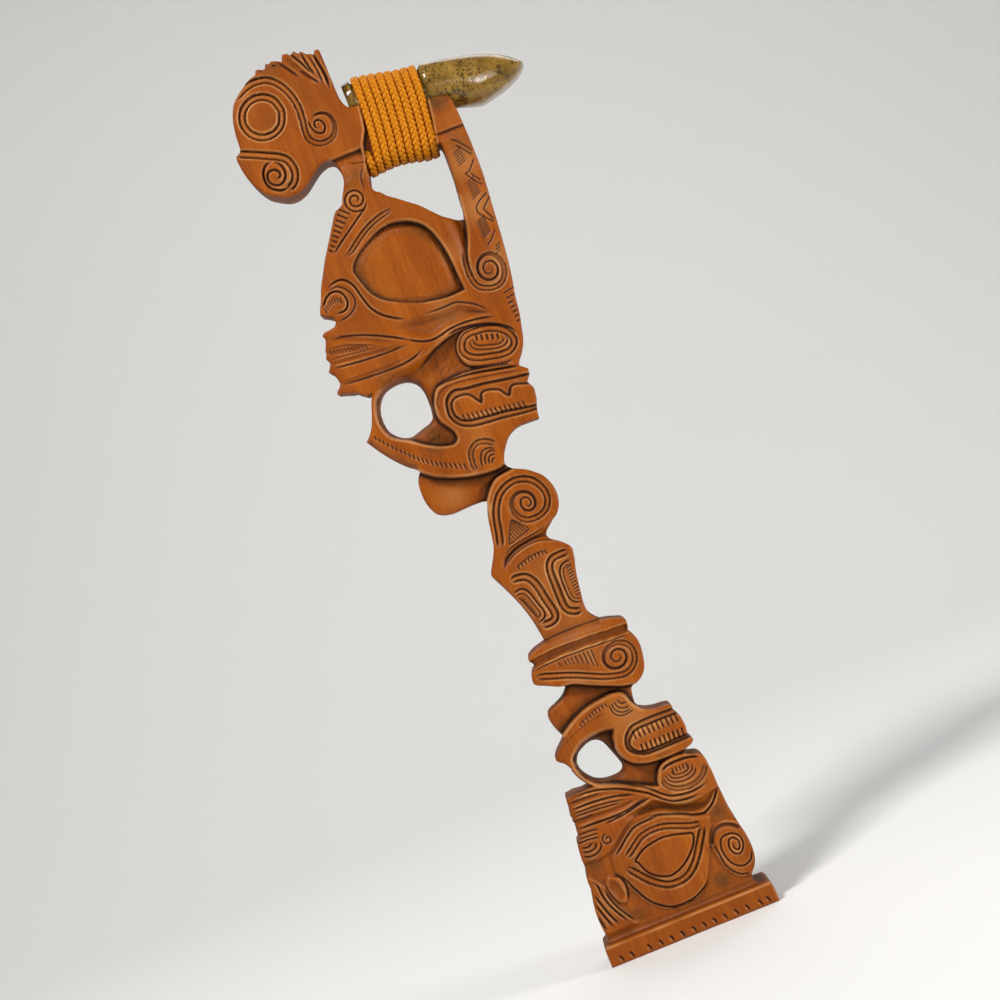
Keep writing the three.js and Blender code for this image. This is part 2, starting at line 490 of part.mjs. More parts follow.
// A plate in the plank's plane, from yFront to yBack
function plate(stretches, yFront, yBack, curveSegments = 1) {
  const shape = shapeOf(stretches);
  shape.autoClose = true;
  const depth = yBack - yFront;
  const geometry = new THREE.ExtrudeGeometry(shape, { depth, bevelEnabled: false, curveSegments });
  geometry.rotateX(Math.PI / 2);
  geometry.translate(0, yBack, 0);
  return solidOf(geometry);
}

// The same pocket cut into both faces of the plank
function pockets(stretches, depth) {
  const face = PLANK_THICKNESS / 2;
  const front = plate(stretches, -face - MARGIN, -face + depth);
  const back = plate(stretches, face - depth, face + MARGIN);
  return front.add(back);
}

// A prism along X over a section in the YZ plane
function prismAlongX(section, left, right) {
  const shape = new THREE.Shape(section.map(([y, z]) => new THREE.Vector2(y, z)));
  const geometry = new THREE.ExtrudeGeometry(shape, { depth: right - left, bevelEnabled: false });
  const yAxis = new THREE.Vector3(0, 1, 0);
  const zAxis = new THREE.Vector3(0, 0, 1);
  const xAxis = new THREE.Vector3(1, 0, 0);
  geometry.applyMatrix4(new THREE.Matrix4().makeBasis(yAxis, zAxis, xAxis));
  geometry.translate(left, 0, 0);
  return solidOf(geometry);
}

// A closed solid through rings of points, with a fan over each end
function loft(rings) {
  const sides = rings[0].length;
  const points = rings.flat();
  const ends = [rings[0], rings[rings.length - 1]].map((ring) => {
    const middle = new THREE.Vector3();
    for (const point of ring) middle.addScaledVector(point, 1 / sides);
    return middle;
  });
  const startIndex = points.length;
  points.push(...ends);
  const index = [];
  for (let i = 0; i < rings.length - 1; i += 1) {
    for (let j = 0; j < sides; j += 1) {
      const a = i * sides + j;
      const b = i * sides + ((j + 1) % sides);
      index.push(a, a + sides, b, b, a + sides, b + sides);
    }
  }
  const lastRing = (rings.length - 1) * sides;
  for (let j = 0; j < sides; j += 1) {
    const next = (j + 1) % sides;
    index.push(startIndex, j, next);
    index.push(startIndex + 1, lastRing + next, lastRing + j);
  }
  const geometry = new THREE.BufferGeometry().setFromPoints(points);
  geometry.setIndex(signedVolume(points, index) < 0 ? index.reverse() : index);
  return geometry;
}

function signedVolume(points, index) {
  const origin = points[0];
  let sum = 0;
  for (let i = 0; i < index.length; i += 3) {
    const [a, b, c] = [0, 1, 2].map((k) => points[index[i + k]].clone().sub(origin));
    sum += a.dot(b.cross(c));
  }
  return sum;
}

// Blade sections are half ellipses above the middle, and flatter below it where the bevel is ground
function bladeGeometry(grow = 0) {
  const lastRow = BLADE_SECTIONS.length - 1;
  const rings = BLADE_SECTIONS.map(([x, underside, top, halfWidth], row) => {
    const middle = (underside + top) / 2;
    const halfHeight = (top - underside) / 2 + grow;
    const bevel = THREE.MathUtils.smoothstep(x, ...BEVEL_RUN);
    const lowerPower = THREE.MathUtils.lerp(SIDE_POWERS.roundUnderside, SIDE_POWERS.flatUnderside, bevel);
    const bow = EDGE_BOW * THREE.MathUtils.smoothstep(x, EDGE_BOW_START, BLADE_SECTIONS[lastRow][0]);
    const shift = row === 0 ? -grow : 0;
    const ring = [];
    for (let i = 0; i < BLADE_SIDES; i += 1) {
      const angle = (2 * Math.PI * i) / BLADE_SIDES;
      const power = Math.sin(angle) < 0 ? lowerPower : SIDE_POWERS.top;
      const across = Math.sign(Math.cos(angle)) * Math.abs(Math.cos(angle)) ** (2 / power);
      const up = Math.sign(Math.sin(angle)) * Math.abs(Math.sin(angle)) ** (2 / power);
      const behind = shift - bow * across ** 2;
      ring.push(new THREE.Vector3(x + behind, (halfWidth + grow) * across, middle + halfHeight * up));
    }
    return ring;
  });
  return loft(rings);
}

// The crossbar under the cord: flat sides and round lower corners
const CORNER_STEPS = 4;
function crossbarCore() {
  const half = CROSSBAR_THICKNESS / 2;
  const rise = 60;
  const rings = CROSSBAR_UNDERSIDE.map(([x, underside]) => {
    const ring = [half, -half].map((y) => new THREE.Vector3(x, y, underside + rise));
    for (const side of [-1, 1]) {
      for (let i = 0; i <= CORNER_STEPS; i += 1) {
        const turn = (Math.PI / 2) * (i / CORNER_STEPS);
        const angle = side < 0 ? Math.PI + turn : 1.5 * Math.PI + turn;
        const y = side * (half - CROSSBAR_CORNER) + CROSSBAR_CORNER * Math.cos(angle);
        const z = underside + CROSSBAR_CORNER + CROSSBAR_CORNER * Math.sin(angle);
        ring.push(new THREE.Vector3(x, y, z));
      }
    }
    return ring;
  });
  return solidOf(loft(rings));
}

const leanAt = (z) => -CORD_LEAN * (THREE.MathUtils.clamp((LEAN_START - z) / LEAN_HEIGHT, 0, 1) ** 2);
const turnX = (turn, z) => FIRST_TOP_X + turn * TURN_PITCH + leanAt(z);

// The region of the plank that is thinned for the cord, a clearance wider than the lashing
const REGION_STEP = 5;
function lashedRegion() {
  const reach = CORD_RADIUS + SIDE_GAP;
  const over = LEAN_START + CORD_DIAMETER + MARGIN;
  const under = undersideAt(END_BLOCK_LEFT) - CORD_DIAMETER - 2 * CORD_CLEARANCE;
  const left = [over, SHOULDER_HEIGHT].map((z) => [turnX(0, z) - reach, z]);
  for (let z = TUCK_HEIGHT + reach; z > under; z -= REGION_STEP) {
    left.push([turnX(-1, z) - TUCK_OFFSET - reach, z]);
  }
  left.push([turnX(-1, under) - TUCK_OFFSET - reach, under]);
  const right = [];
  for (let z = under; z < LEAN_START; z += REGION_STEP) right.push([turnX(LAST_TURN, z) + reach, z]);
  right.push([END_BLOCK_LEFT, over]);
  return [edges(...left), edges(...right)];
}

// Steps of one turn, from the top down the front, under the crossbar and up the back
const ARC_STEPS = 5;
const SIDE_STEPS = 2;
const SIDE_START = ARC_STEPS;
const CORNER_START = SIDE_START + SIDE_STEPS;
const BOTTOM_MIDDLE = STEPS_PER_TURN / 2;

// Share of the pitch that a turn has gained at a step: none down the front, all of it up the back
const PITCH_GAINED = [
  [BOTTOM_MIDDLE, 0],
  [STEPS_PER_TURN - CORNER_START, 0.4],
  [STEPS_PER_TURN - SIDE_START, 1],
];

// Point of the cord's centre line at a step of a turn
function cordPoint(turn, step) {
  const half = CROSSBAR_THICKNESS / 2;
  const distance = CORD_RADIUS + CORD_CLEARANCE;
  const mirrored = step > BOTTOM_MIDDLE;
  const local = mirrored ? STEPS_PER_TURN - step : step;
  const gain = interpolate(PITCH_GAINED, step);
  const topX = FIRST_TOP_X + (turn + gain) * TURN_PITCH;
  let x = topX;
  let y = 0;
  let z = 0;
  // two passes, because the height sets the lean and the lean sets where the height is read
  for (let pass = 0; pass < 2; pass += 1) {
    const top = bladeTopAt(THREE.MathUtils.clamp(x, ...LASHED_BLADE));
    const middle = (top + bladeUndersideAt(x)) / 2;
    const rise = top - middle;
    const corner = undersideAt(x) + CROSSBAR_CORNER;
    if (local <= SIDE_START) {
      const angle = (Math.PI / 2) * (local / ARC_STEPS);
      const [ny, nz] = [Math.sin(angle), Math.cos(angle)];
      const reach = Math.hypot(half * ny, rise * nz);
      y = (half * half * ny) / reach + distance * ny;
      z = middle + (rise * rise * nz) / reach + distance * nz;
    } else if (local <= CORNER_START) {
      const share = (local - SIDE_START) / SIDE_STEPS;
      y = half + distance;
      z = middle + (corner - middle) * share;
    } else {
      const angle = (Math.PI / 2) * Math.min(1, (local - CORNER_START) / CORNER_STEPS);
      const round = CROSSBAR_CORNER + distance;
      y = local < BOTTOM_MIDDLE ? half - CROSSBAR_CORNER + round * Math.cos(angle) : 0;
      z = corner - round * Math.sin(angle);
    }
    x = topX + leanAt(z);
  }
  return new THREE.Vector3(x, mirrored ? y : -y, z);
}

// Where an end turns into the wood: out of a hole in the face, then along the face in direction away
const TUCK_STEPS = 4;
const TUCK_LENGTH = CORD_DIAMETER * 1.1;
function tuck(mouth, away, inward) {
  const bend = CORD_RADIUS + CORD_CLEARANCE;
  const points = [mouth.clone().addScaledVector(inward, TUCK_LENGTH)];
  for (let i = 0; i <= TUCK_STEPS; i += 1) {
    const angle = (Math.PI / 2) * (i / TUCK_STEPS);
    const point = mouth.clone();
    point.addScaledVector(away, bend * (1 - Math.cos(angle)));
    point.addScaledVector(inward, -bend * Math.sin(angle));
    points.push(point);
  }
  return points;
}

const FRONT_TUCK_X = turnX(-1, TUCK_HEIGHT) - TUCK_OFFSET;
const FRONT_TUCK = new THREE.Vector3(FRONT_TUCK_X, -CROSSBAR_THICKNESS / 2, TUCK_HEIGHT);
const LOWER_TUCK_X = cordPoint(LAST_TURN, BOTTOM_MIDDLE).x;
const LOWER_TUCK = new THREE.Vector3(LOWER_TUCK_X, CORD_DIAMETER, undersideAt(LOWER_TUCK_X));
const INTO_FRONT = new THREE.Vector3(0, 1, 0);
const INTO_UNDERSIDE = new THREE.Vector3(0, 0, 1);

function cordRoute() {
  const points = tuck(FRONT_TUCK, new THREE.Vector3(0, 0, -1), INTO_FRONT);
  for (let step = CORNER_START; step < STEPS_PER_TURN; step += 1) points.push(cordPoint(-1, step));
  for (let turn = 0; turn <= LAST_TURN; turn += 1) {
    const lastStep = turn === LAST_TURN ? BOTTOM_MIDDLE : STEPS_PER_TURN;
    for (let step = 0; step < lastStep; step += 1) points.push(cordPoint(turn, step));
  }
  const ending = tuck(LOWER_TUCK, new THREE.Vector3(0, -1, 0), INTO_UNDERSIDE);
  return [...points, ...ending.reverse()];
}

// Rings square to the route, carried along it without twist
function cordGeometry(route) {
  const rings = [];
  const previous = new THREE.Vector3();
  const side = new THREE.Vector3(1, 0, 0);
  route.forEach((point, i) => {
    const before = route[Math.max(0, i - 1)];
    const after = route[Math.min(route.length - 1, i + 1)];
    const incoming = point.clone().sub(before).normalize();
    const outgoing = after.clone().sub(point).normalize();
    const tangent = incoming.add(outgoing).normalize();
    if (i > 0) side.applyQuaternion(new THREE.Quaternion().setFromUnitVectors(previous, tangent));
    side.addScaledVector(tangent, -side.dot(tangent)).normalize();
    previous.copy(tangent);
    const across = tangent.clone().cross(side);
    const ring = [];
    for (let j = 0; j < CORD_SIDES; j += 1) {
      const angle = (2 * Math.PI * j) / CORD_SIDES;
      const offset = side.clone().multiplyScalar(CORD_RADIUS * Math.cos(angle));
      ring.push(point.clone().add(offset).addScaledVector(across, CORD_RADIUS * Math.sin(angle)));
    }
    rings.push(ring);
  });
  return loft(rings);
}

// Least gap between the cord and its own other turns, measured from points to stretches of the route
function leastGap(route) {
  const nearest = new THREE.Vector3();
  let least = Infinity;
  for (let i = 0; i < route.length; i += 1) {
    for (let j = i + STEPS_PER_TURN / 2; j < route.length - 1; j += 1) {
      new THREE.Line3(route[j], route[j + 1]).closestPointToPoint(route[i], true, nearest);
      least = Math.min(least, nearest.distanceTo(route[i]));
    }
  }
  return least - CORD_DIAMETER;
}

// A round hole that holds a tucked end with clearance
function tuckHole(mouth, inward) {
  const radius = (CORD_RADIUS + CORD_CLEARANCE) / Math.cos(Math.PI / 16);
  const depth = TUCK_LENGTH + CORD_CLEARANCE;
  const geometry = new THREE.CylinderGeometry(radius, radius, depth + MARGIN, 16);
  geometry.applyQuaternion(new THREE.Quaternion().setFromUnitVectors(new THREE.Vector3(0, 1, 0), inward));
  const middle = mouth.clone().addScaledVector(inward, (depth - MARGIN) / 2);
  geometry.translate(middle.x, middle.y, middle.z);
  return solidOf(geometry);
}

// A wedge under an overhanging edge, deepest at its top, on both faces
function shelf([left, right, top]) {
  const face = PLANK_THICKNESS / 2;
  const wedge = (side) => [
    [side * (face + MARGIN), top],
    [side * (face - SHELF_DEPTH), top],
    [side * face, top - SHELF_RUN],
    [side * (face + MARGIN), top - SHELF_RUN],
  ];
  return prismAlongX(wedge(-1), left, right).add(prismAlongX(wedge(1), left, right));
}

function plinthSolid() {
  const half = PLINTH_DEPTH / 2;
  const shoulder = PLINTH_HEIGHT - PLINTH_CHAMFER;
  const outline = [
    edges([PLINTH_LEFT, 0], [PLINTH_LEFT, shoulder], [PLINTH_LEFT + PLINTH_CHAMFER, PLINTH_HEIGHT]),
    edges([PLINTH_RIGHT - PLINTH_CHAMFER, PLINTH_HEIGHT], [PLINTH_RIGHT, shoulder], [PLINTH_RIGHT, 0]),
  ];
  return plate(outline, -half, half);
}

function haftSolid() {
  const face = PLANK_THICKNESS / 2;
  const lashed = plate(lashedRegion(), -face - MARGIN, face + MARGIN).subtract(crossbarCore());
  let haft = plate(SILHOUETTE, -face, face).add(plinthSolid());
  for (const hole of [UPPER_HOLE, LOWER_HOLE, BRACE_GAP]) {
    haft = haft.subtract(plate(hole, -face - MARGIN, face + MARGIN));
  }
  for (const { depth, region, island } of RELIEF) {
    const cutter = pockets(region, depth);
    haft = haft.subtract(island ? cutter.subtract(pockets(island, depth + OVERLAP)) : cutter);
  }
  for (const row of SHELVES) haft = haft.subtract(shelf(row));
  haft = haft.subtract(lashed).subtract(solidOf(bladeGeometry(SEAT_CLEARANCE)));
  haft = haft.subtract(tuckHole(FRONT_TUCK, INTO_FRONT));
  return haft.subtract(tuckHole(LOWER_TUCK, INTO_UNDERSIDE));
}

function piece(name, geometry, material) {
  const flat = geometry.toNonIndexed();
  flat.computeVertexNormals();
  const mesh = new THREE.Mesh(flat, new THREE.MeshStandardMaterial(material));
  mesh.name = name;
  return mesh;
}

const route = cordRoute();
console.log(`lashing: ${FULL_TURNS} full turns, least gap to itself ${leastGap(route).toFixed(2)} mm`);

const adze = new THREE.Group();
adze.add(piece('haft', geometryOf(haftSolid()), { color: 0xa8622a, roughness: 0.45, metalness: 0 }));
adze.add(piece('stone_blade', bladeGeometry(), { color: 0x8d8263, roughness: 0.5, metalness: 0 }));
adze.add(piece('lashing_cord', cordGeometry(route), { color: 0xc98a35, roughness: 0.8, metalness: 0 }));

export default adze;
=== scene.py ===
import math

import bpy
import numpy as np
from mathutils import Matrix, Vector


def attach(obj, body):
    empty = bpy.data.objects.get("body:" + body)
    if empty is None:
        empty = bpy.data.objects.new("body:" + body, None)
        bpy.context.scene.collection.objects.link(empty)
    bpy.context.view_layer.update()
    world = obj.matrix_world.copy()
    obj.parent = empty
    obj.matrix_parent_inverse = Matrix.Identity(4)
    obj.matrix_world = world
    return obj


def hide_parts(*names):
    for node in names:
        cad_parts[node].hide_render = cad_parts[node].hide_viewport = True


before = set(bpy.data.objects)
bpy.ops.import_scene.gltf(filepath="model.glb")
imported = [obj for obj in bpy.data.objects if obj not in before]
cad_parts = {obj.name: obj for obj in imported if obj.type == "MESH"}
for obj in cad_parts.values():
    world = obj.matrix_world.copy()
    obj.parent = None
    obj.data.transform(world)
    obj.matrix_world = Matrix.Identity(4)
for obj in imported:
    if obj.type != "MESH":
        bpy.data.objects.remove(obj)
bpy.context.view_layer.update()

# The looks of a ceremonial stone adze: the carved haft, the ground stone blade and the plaited lashing.
# The pieces are worked out in millimetres, with X and Z in the plank's plane, and MM turns them into metres.
# The stage, the camera and the lamps are in metres.

MM = 0.001
FACE = 17.0  # half the plank's thickness
HOLLOW = 8.0  # depth of the necks and hollows below the carved face

# The grid that the relief is worked out on

STEP = 0.5
LEFT, BOTTOM = -84.0, -4.0
WIDTH, HEIGHT = 142, 576
COLUMNS, ROWS = int(WIDTH / STEP) + 1, int(HEIGHT / STEP) + 1
GRID_X = LEFT + STEP * np.arange(COLUMNS)
GRID_Z = BOTTOM + STEP * np.arange(ROWS)
ALONG_X, ALONG_Z = GRID_X[None, :], GRID_Z[:, None]
TINY = 1e-9


def smooth(*points, spacing=0.7):
    """Points along a smooth curve through the given ones."""
    known = np.array(points, float)
    padded = np.vstack([2 * known[0] - known[1], known, 2 * known[-1] - known[-2]])
    pieces = []
    for before, start, end, after in zip(padded, padded[1:], padded[2:], padded[3:]):
        count = max(2, int(np.hypot(*(end - start)) / spacing) + 1)
        t = np.linspace(0, 1, count, endpoint=False)[:, None]
        pieces.append(
            0.5 * (2 * start + (end - before) * t + (2 * before - 5 * start + 4 * end - after) * t**2
                   + (3 * start - before - 3 * end + after) * t**3)
        )
    return np.vstack([*pieces, known[-1:]])


def closed(*stretches):
    """One closed path from stretches, each a list of points taken straight or a curve."""
    path = np.vstack([np.array(stretch, float) for stretch in stretches])
    moved = np.hypot(*np.diff(path, axis=0, append=path[:1]).T) > 1e-6
    path = path[moved]
    return np.vstack([path, path[:1]])


def spiral(centre, outer, inner, turns, start):
    """A spiral inwards. start is the angle of its outer end in degrees, and turns below 0 run clockwise."""
    share = np.linspace(0, 1, int(abs(turns) * 40) + 2)
    radius = outer + (inner - outer) * share
    angle = math.radians(start) + 2 * math.pi * turns * share
    return np.array(centre) + np.stack([radius * np.cos(angle), radius * np.sin(angle)], 1)


def span(low, high, origin, count):
    """The slice of a grid axis that covers low to high."""
    first = max(0, int((low - origin) / STEP))
    return slice(first, max(first, min(count, int((high - origin) / STEP) + 2)))


def near(path, reach):
    """Each grid point's distance to a path, within reach, and the nearest place along it from 0 to 1."""
    distance = np.full((ROWS, COLUMNS), np.inf)
    along = np.zeros((ROWS, COLUMNS))
    steps = np.hypot(*np.diff(path, axis=0).T)
    places = np.concatenate([[0], np.cumsum(steps)]) / max(steps.sum(), TINY)
    for i, (a, b) in enumerate(zip(path, path[1:])):
        if steps[i] < TINY:
            continue
        low, high = np.minimum(a, b) - reach, np.maximum(a, b) + reach
        cols = span(low[0], high[0], LEFT, COLUMNS)
        rows = span(low[1], high[1], BOTTOM, ROWS)
        x, z = GRID_X[None, cols] - a[0], GRID_Z[rows, None] - a[1]
        way = (b - a) / steps[i] ** 2
        t = np.clip(x * way[0] + z * way[1], 0, 1)
        found = np.hypot(x - t * (b - a)[0], z - t * (b - a)[1])
        better = found < distance[rows, cols]
        distance[rows, cols][better] = found[better]
        along[rows, cols][better] = (places[i] + t * (places[i + 1] - places[i]))[better]
    return distance, along


def inside(path):
    """Which grid points a closed path goes round."""
    mask = np.zeros((ROWS, COLUMNS), bool)
    for (x0, z0), (x1, z1) in zip(path, path[1:]):
        if z0 == z1:
            continue
        rows = (GRID_Z >= min(z0, z1)) & (GRID_Z < max(z0, z1))
        crossing = x0 + (GRID_Z[rows] - z0) * (x1 - x0) / (z1 - z0)
        mask[rows] ^= ALONG_X > crossing[:, None]
    return mask


def depth_inside(path, reach):
    """Signed distance to a closed path, positive inside, up to reach either way."""
    distance = np.minimum(near(path, reach)[0], reach)
    return np.where(inside(path), distance, -distance)


def ease(share):
    """The share, kept from 0 to 1, with a smooth start and end."""
    share = np.clip(share, 0, 1)
    return share * share * (3 - 2 * share)


def passed(value, start, end):
    """The share of the way from start to end that a value has come, from 0 to 1."""
    return np.clip((value - start) / (end - start), 0, 1)


def rise(value, start, end):
    """The same share with a smooth start and end."""
    return ease(passed(value, start, end))


# The haft's outline and openings

PLINTH_TOP = 13.3
OUTLINE = closed(
    [(-52, 0), (-52, 11), (-49.5, PLINTH_TOP)],
    smooth((-48.6, 14.5), (-48.4, 18), (-49.1, 25), (-49, 33), (-47.7, 40), (-46.6, 46), (-46.6, 51.5),
           (-45.4, 56), (-45, 60), (-45, 66), (-44, 73.4)),
    [(-41.6, 75.6), (-41.2, 76.6), (-41.9, 78), (-41.2, 79.5), (-41.7, 80.8), (-40.8, 82.4), (-41.2, 84),
     (-40.6, 85.5), (-41.6, 87), (-40.4, 88.6), (-41.8, 90.4), (-40.7, 92), (-41.2, 93.6), (-40.3, 95.4),
     (-40.6, 98), (-40.2, 100.8), (-35, 101.5), (-30, 100.9)],
    smooth((-22.5, 101.6), (-26.4, 106.4), (-29.4, 111), (-31, 116), (-33.2, 119.8), (-36, 122.1),
           (-37.5, 123.7)),
    smooth((-37.5, 123.7), (-35, 127), (-31, 130.7), (-27.6, 133.9)),
    smooth((-27.6, 133.9), (-30, 138.8), (-31.7, 144), (-32, 148.5), (-30, 151.5), (-25, 153.5), (-20, 156.1),
           (-16.9, 159.3), (-15.6, 161)),
    smooth((-15.6, 161), (-21.8, 164.1), (-27, 166.6), (-31, 168.4), (-32.7, 170.5), (-32, 174),
           (-30.4, 177.1)),
    smooth((-28.3, 178.3), (-28.6, 181), (-30.2, 183.3), (-29, 186), (-25, 188.1), (-20, 189.5),
           (-16.4, 190.4)),
    smooth((-17.6, 192.4), (-18, 196), (-19.5, 205), (-22, 214), (-25, 222), (-28.5, 230), (-31.6, 236.8),
           (-31.3, 239.5), (-29.4, 243), (-26.5, 248), (-24.3, 253), (-23, 259), (-22, 265), (-20.7, 271),
           (-19, 276), (-17.9, 279.3)),
    smooth((-17.9, 279.3), (-22, 280), (-30, 280), (-38, 279.7), (-44, 280.7), (-48, 283), (-50.3, 287),
           (-51.7, 292), (-52, 298), (-51.3, 304), (-49.5, 308), (-47.8, 309.8)),
    smooth((-47.8, 309.8), (-50, 312.4), (-54, 315.5), (-60, 322), (-65.5, 329.5), (-70.3, 337.3)),
    smooth((-70.3, 337.3), (-67.5, 340), (-64.5, 344), (-62, 349.5), (-60, 355), (-57.9, 360),
           (-56.6, 362.4)),
    [(-60, 362.3), (-64.4, 365.6), (-65.2, 366.6), (-68, 367), (-71.5, 368.3), (-75.5, 369.5), (-75, 371),
     (-72.6, 373.2), (-71.6, 375), (-72.2, 378), (-73.2, 381), (-75.5, 383.4), (-74, 385.4), (-72.6, 388),
     (-74, 391), (-72.8, 393.5), (-72.5, 396), (-71, 399), (-70, 402), (-71, 404.5), (-69, 406), (-65, 406.2),
     (-62, 407), (-60.6, 409), (-61.2, 412), (-64, 414), (-67.5, 416)],
    smooth((-67.5, 416), (-66.5, 419), (-64, 424), (-61, 431), (-57, 438), (-53, 445), (-49, 451), (-45, 457),
           (-41, 463), (-37, 468.6), (-33.8, 470)),
    smooth((-31.4, 471.6), (-29.6, 475.6), (-27.6, 479), (-25.7, 483), (-25, 487), (-25.3, 492), (-26.5, 496),
           (-28, 498)),
    smooth((-28, 498), (-31, 498.6), (-36, 497.2), (-41, 494), (-46, 490.3), (-50, 488), (-55, 486.6),
           (-60, 487), (-65, 489.5), (-70, 493), (-73, 497), (-75.5, 502), (-77.5, 508), (-78.5, 514),
           (-78.8, 519)),
    [(-78.2, 520.4), (-76, 521.6), (-74.6, 523.4)],
    smooth((-74.4, 525), (-74.1, 530), (-73.5, 535), (-72.4, 540), (-70.6, 545), (-68, 549.5), (-64, 553.5),
           (-60, 556.5), (-55, 559), (-50, 560.6)),
    [(-49.2, 562.8), (-47.6, 562.9), (-46, 562), (-43.6, 561.6), (-42.4, 564.2), (-40.4, 563.4),
     (-38.5, 564.5), (-35, 563.1), (-33, 561.8), (-31.2, 565.8), (-28.5, 565.2), (-27, 563.7), (-24.2, 565),
     (-22.2, 562.6), (-20.5, 563.4), (-18, 560.7), (-15.2, 559.7), (-14, 558.7), (-13, 560.8), (-11, 561),
     (-10.1, 559.5), (-10, 540), (-10, 532)],
    smooth((-10, 532), (-9.2, 527), (-7.2, 523.2), (-3.6, 521.9), (0, 521.6)),
    [(0.2, 518.3), (38.3, 509.2), (38.4, 510.4), (44, 509.3), (49.8, 507.6), (51, 505.2), (51.4, 498),
     (51.9, 488)],
    smooth((51.9, 488), (52, 480), (52, 470), (51.8, 460), (51, 450), (50, 440), (49, 430), (48, 420),
           (46.9, 410), (45.5, 400), (44, 392), (42.5, 385), (41.5, 378), (40.5, 372), (39, 366),
           (37, 358.4), (34, 353), (30.5, 348.8)),
    [(29.2, 345.6), (33.4, 342.2), (33.1, 339), (31.2, 336.7), (30.2, 335), (31.9, 331.8), (32.4, 329.6),
     (31.5, 324), (30, 320), (29, 316.4), (28.6, 312.8)],
    smooth((28.6, 312.8), (17, 313.2), (11.4, 311.6), (7.6, 309), (4, 304.6), (1.6, 300.6), (0.2, 296.8),
           (0.5, 294.3), (3, 291.6)),
    smooth((3, 291.6), (6, 290), (10, 288), (14, 285), (18, 281), (20.5, 276), (21.7, 271), (21.5, 266),
           (20, 261), (17, 257), (14, 255), (11, 252.5), (8.2, 250.2), (7, 247.6), (8.6, 244.5), (12, 242),
           (15, 239.5), (17.4, 236.8), (18, 234.6)),
    smooth((18, 234.6), (17, 229), (15.5, 224), (14.5, 219), (13.5, 213), (12.6, 207), (12.1, 202),
           (12.5, 198), (14, 194.7), (16.4, 191.7), (18.2, 190.1)),
    smooth((18.2, 190.1), (22, 189.3), (26, 188), (30, 186.5), (31.3, 184.5), (31, 181), (30, 178.2)),
    smooth((30, 178.2), (32, 175.4), (33.5, 171), (33.5, 166), (32.5, 160), (31, 155), (28, 151), (24, 148.5),
           (21, 147), (19.5, 145.5), (18.9, 143), (18.4, 140), (18.3, 136.6), (19.6, 133.6)),
    smooth((19.6, 133.6), (23, 131.6), (28, 130.2), (34, 129.7), (37.2, 128.9)),
    [(37.6, 127), (36.8, 125.6), (38, 123.8), (39.9, 120), (40.5, 115), (40, 110.4), (39.6, 108.4),
     (41.1, 106.6), (41.9, 105.2), (40.2, 103.6), (37.8, 102.5), (35, 101.4), (34.2, 99.6)],
    smooth((35, 98.6), (38, 97.5), (42, 96), (43.9, 93), (44.5, 88), (45, 82), (45, 76), (45.5, 70), (46, 62),
           (47, 56), (48, 50), (49.3, 44), (50, 38), (50, 32), (49, 27), (47, 23.2), (44.6, 20.5), (43.5, 18),
           (43.1, 15.6), (45, PLINTH_TOP + 0.2)),
    [(50.5, PLINTH_TOP), (52.6, 10.8), (53, 6), (53, 0)],
)
UPPER_HOLE = closed(smooth(
    (-58.9, 345), (-58.4, 350.5), (-56.6, 355.5), (-53.6, 359.6), (-49.8, 362.4), (-45, 363.8), (-40, 364.1),
    (-35, 363.3), (-31, 361), (-28.3, 357.8), (-26.8, 353), (-26.3, 347), (-26.6, 341), (-28.2, 335.4),
    (-32, 332.5), (-36, 331.4), (-41, 329.9), (-45, 329.2), (-49.6, 330.3), (-53.6, 333), (-56.8, 336.6),
    (-58.4, 340.4), (-58.9, 345)))
LOWER_HOLE = closed(smooth(
    (-28.3, 117), (-27.9, 112.6), (-25.8, 108), (-22, 103.6), (-17, 100.9), (-12, 100), (-6, 100.3),
    (-2.4, 102), (-0.7, 105.4), (-1.4, 109.6), (-3.2, 115), (-5, 120), (-7.1, 123.8), (-10.4, 126.3),
    (-15, 127), (-20, 125.5), (-25, 122.3), (-28.3, 117)))
BRACE_GAP = closed(
    smooth((-9.4, 485), (-11, 480), (-12, 476), (-11, 472), (-8, 469.5), (-5, 466.2), (0, 462.4), (5, 458.3),
           (10, 454.3), (15, 448.8), (20, 443.6), (24.6, 440.4), (28, 438.5), (31.4, 437.6)),
    smooth((31.4, 437.6), (33, 444), (33.5, 450), (34.3, 457), (35, 464), (35.3, 472), (35.5, 480),
           (35, 483.4)),
    [(30, 482), (25, 482.4), (20, 484), (15, 485.2), (8, 486.2), (0, 486.2), (-6, 485.6)],
)

# The carving

level = np.zeros((ROWS, COLUMNS))  # how far the ground lies behind the plank's face
cut = np.zeros((ROWS, COLUMNS))  # how deep the grooves are cut into that ground
cut_stain_and_shade = np.zeros((ROWS, COLUMNS))  # how much dark stain and painted shade lies in them, from 0 to 1
wear_and_highlight = np.zeros((ROWS, COLUMNS))  # how pale the beads' crests are, from 0 to 1: wear from handling and a painted highlight

LIP = 0.3  # how far outside its line a wall starts
BULGE_RUN = (1, 8)  # a bulge comes up over this distance from the line
BULGE_REACH = 9
RUN_OUT = 0.35  # share of its width that a groove keeps where it has run out
LEAST_HALF = 0.3  # least half width of a groove
DEPTH_POWER = 0.7  # by which a groove's depth follows its width
BEAD_SHARE = 0.74  # share of a channel's half width that its bead takes
BEAD_RISE = 0.55  # share of the channel's depth that the bead comes up
BEAD_WIDTHS = (2.9, 3.9)  # a channel is a plain V up to the first width and has its full bead from the second

# Widths and depths are as they read in the photo. What is added to the width, and by how much the depth is
# multiplied, so that a cut still shows like that once it is softened:
SCORE_SPARE, CHANNEL_SPARE, COMB_SPARE = (0.35, 1.25), (0.4, 1.35), (0.2, 1.35)


def deepen(depth):
    """Lowers the ground to that depth wherever it lies higher."""
    np.maximum(level, depth, out=level)


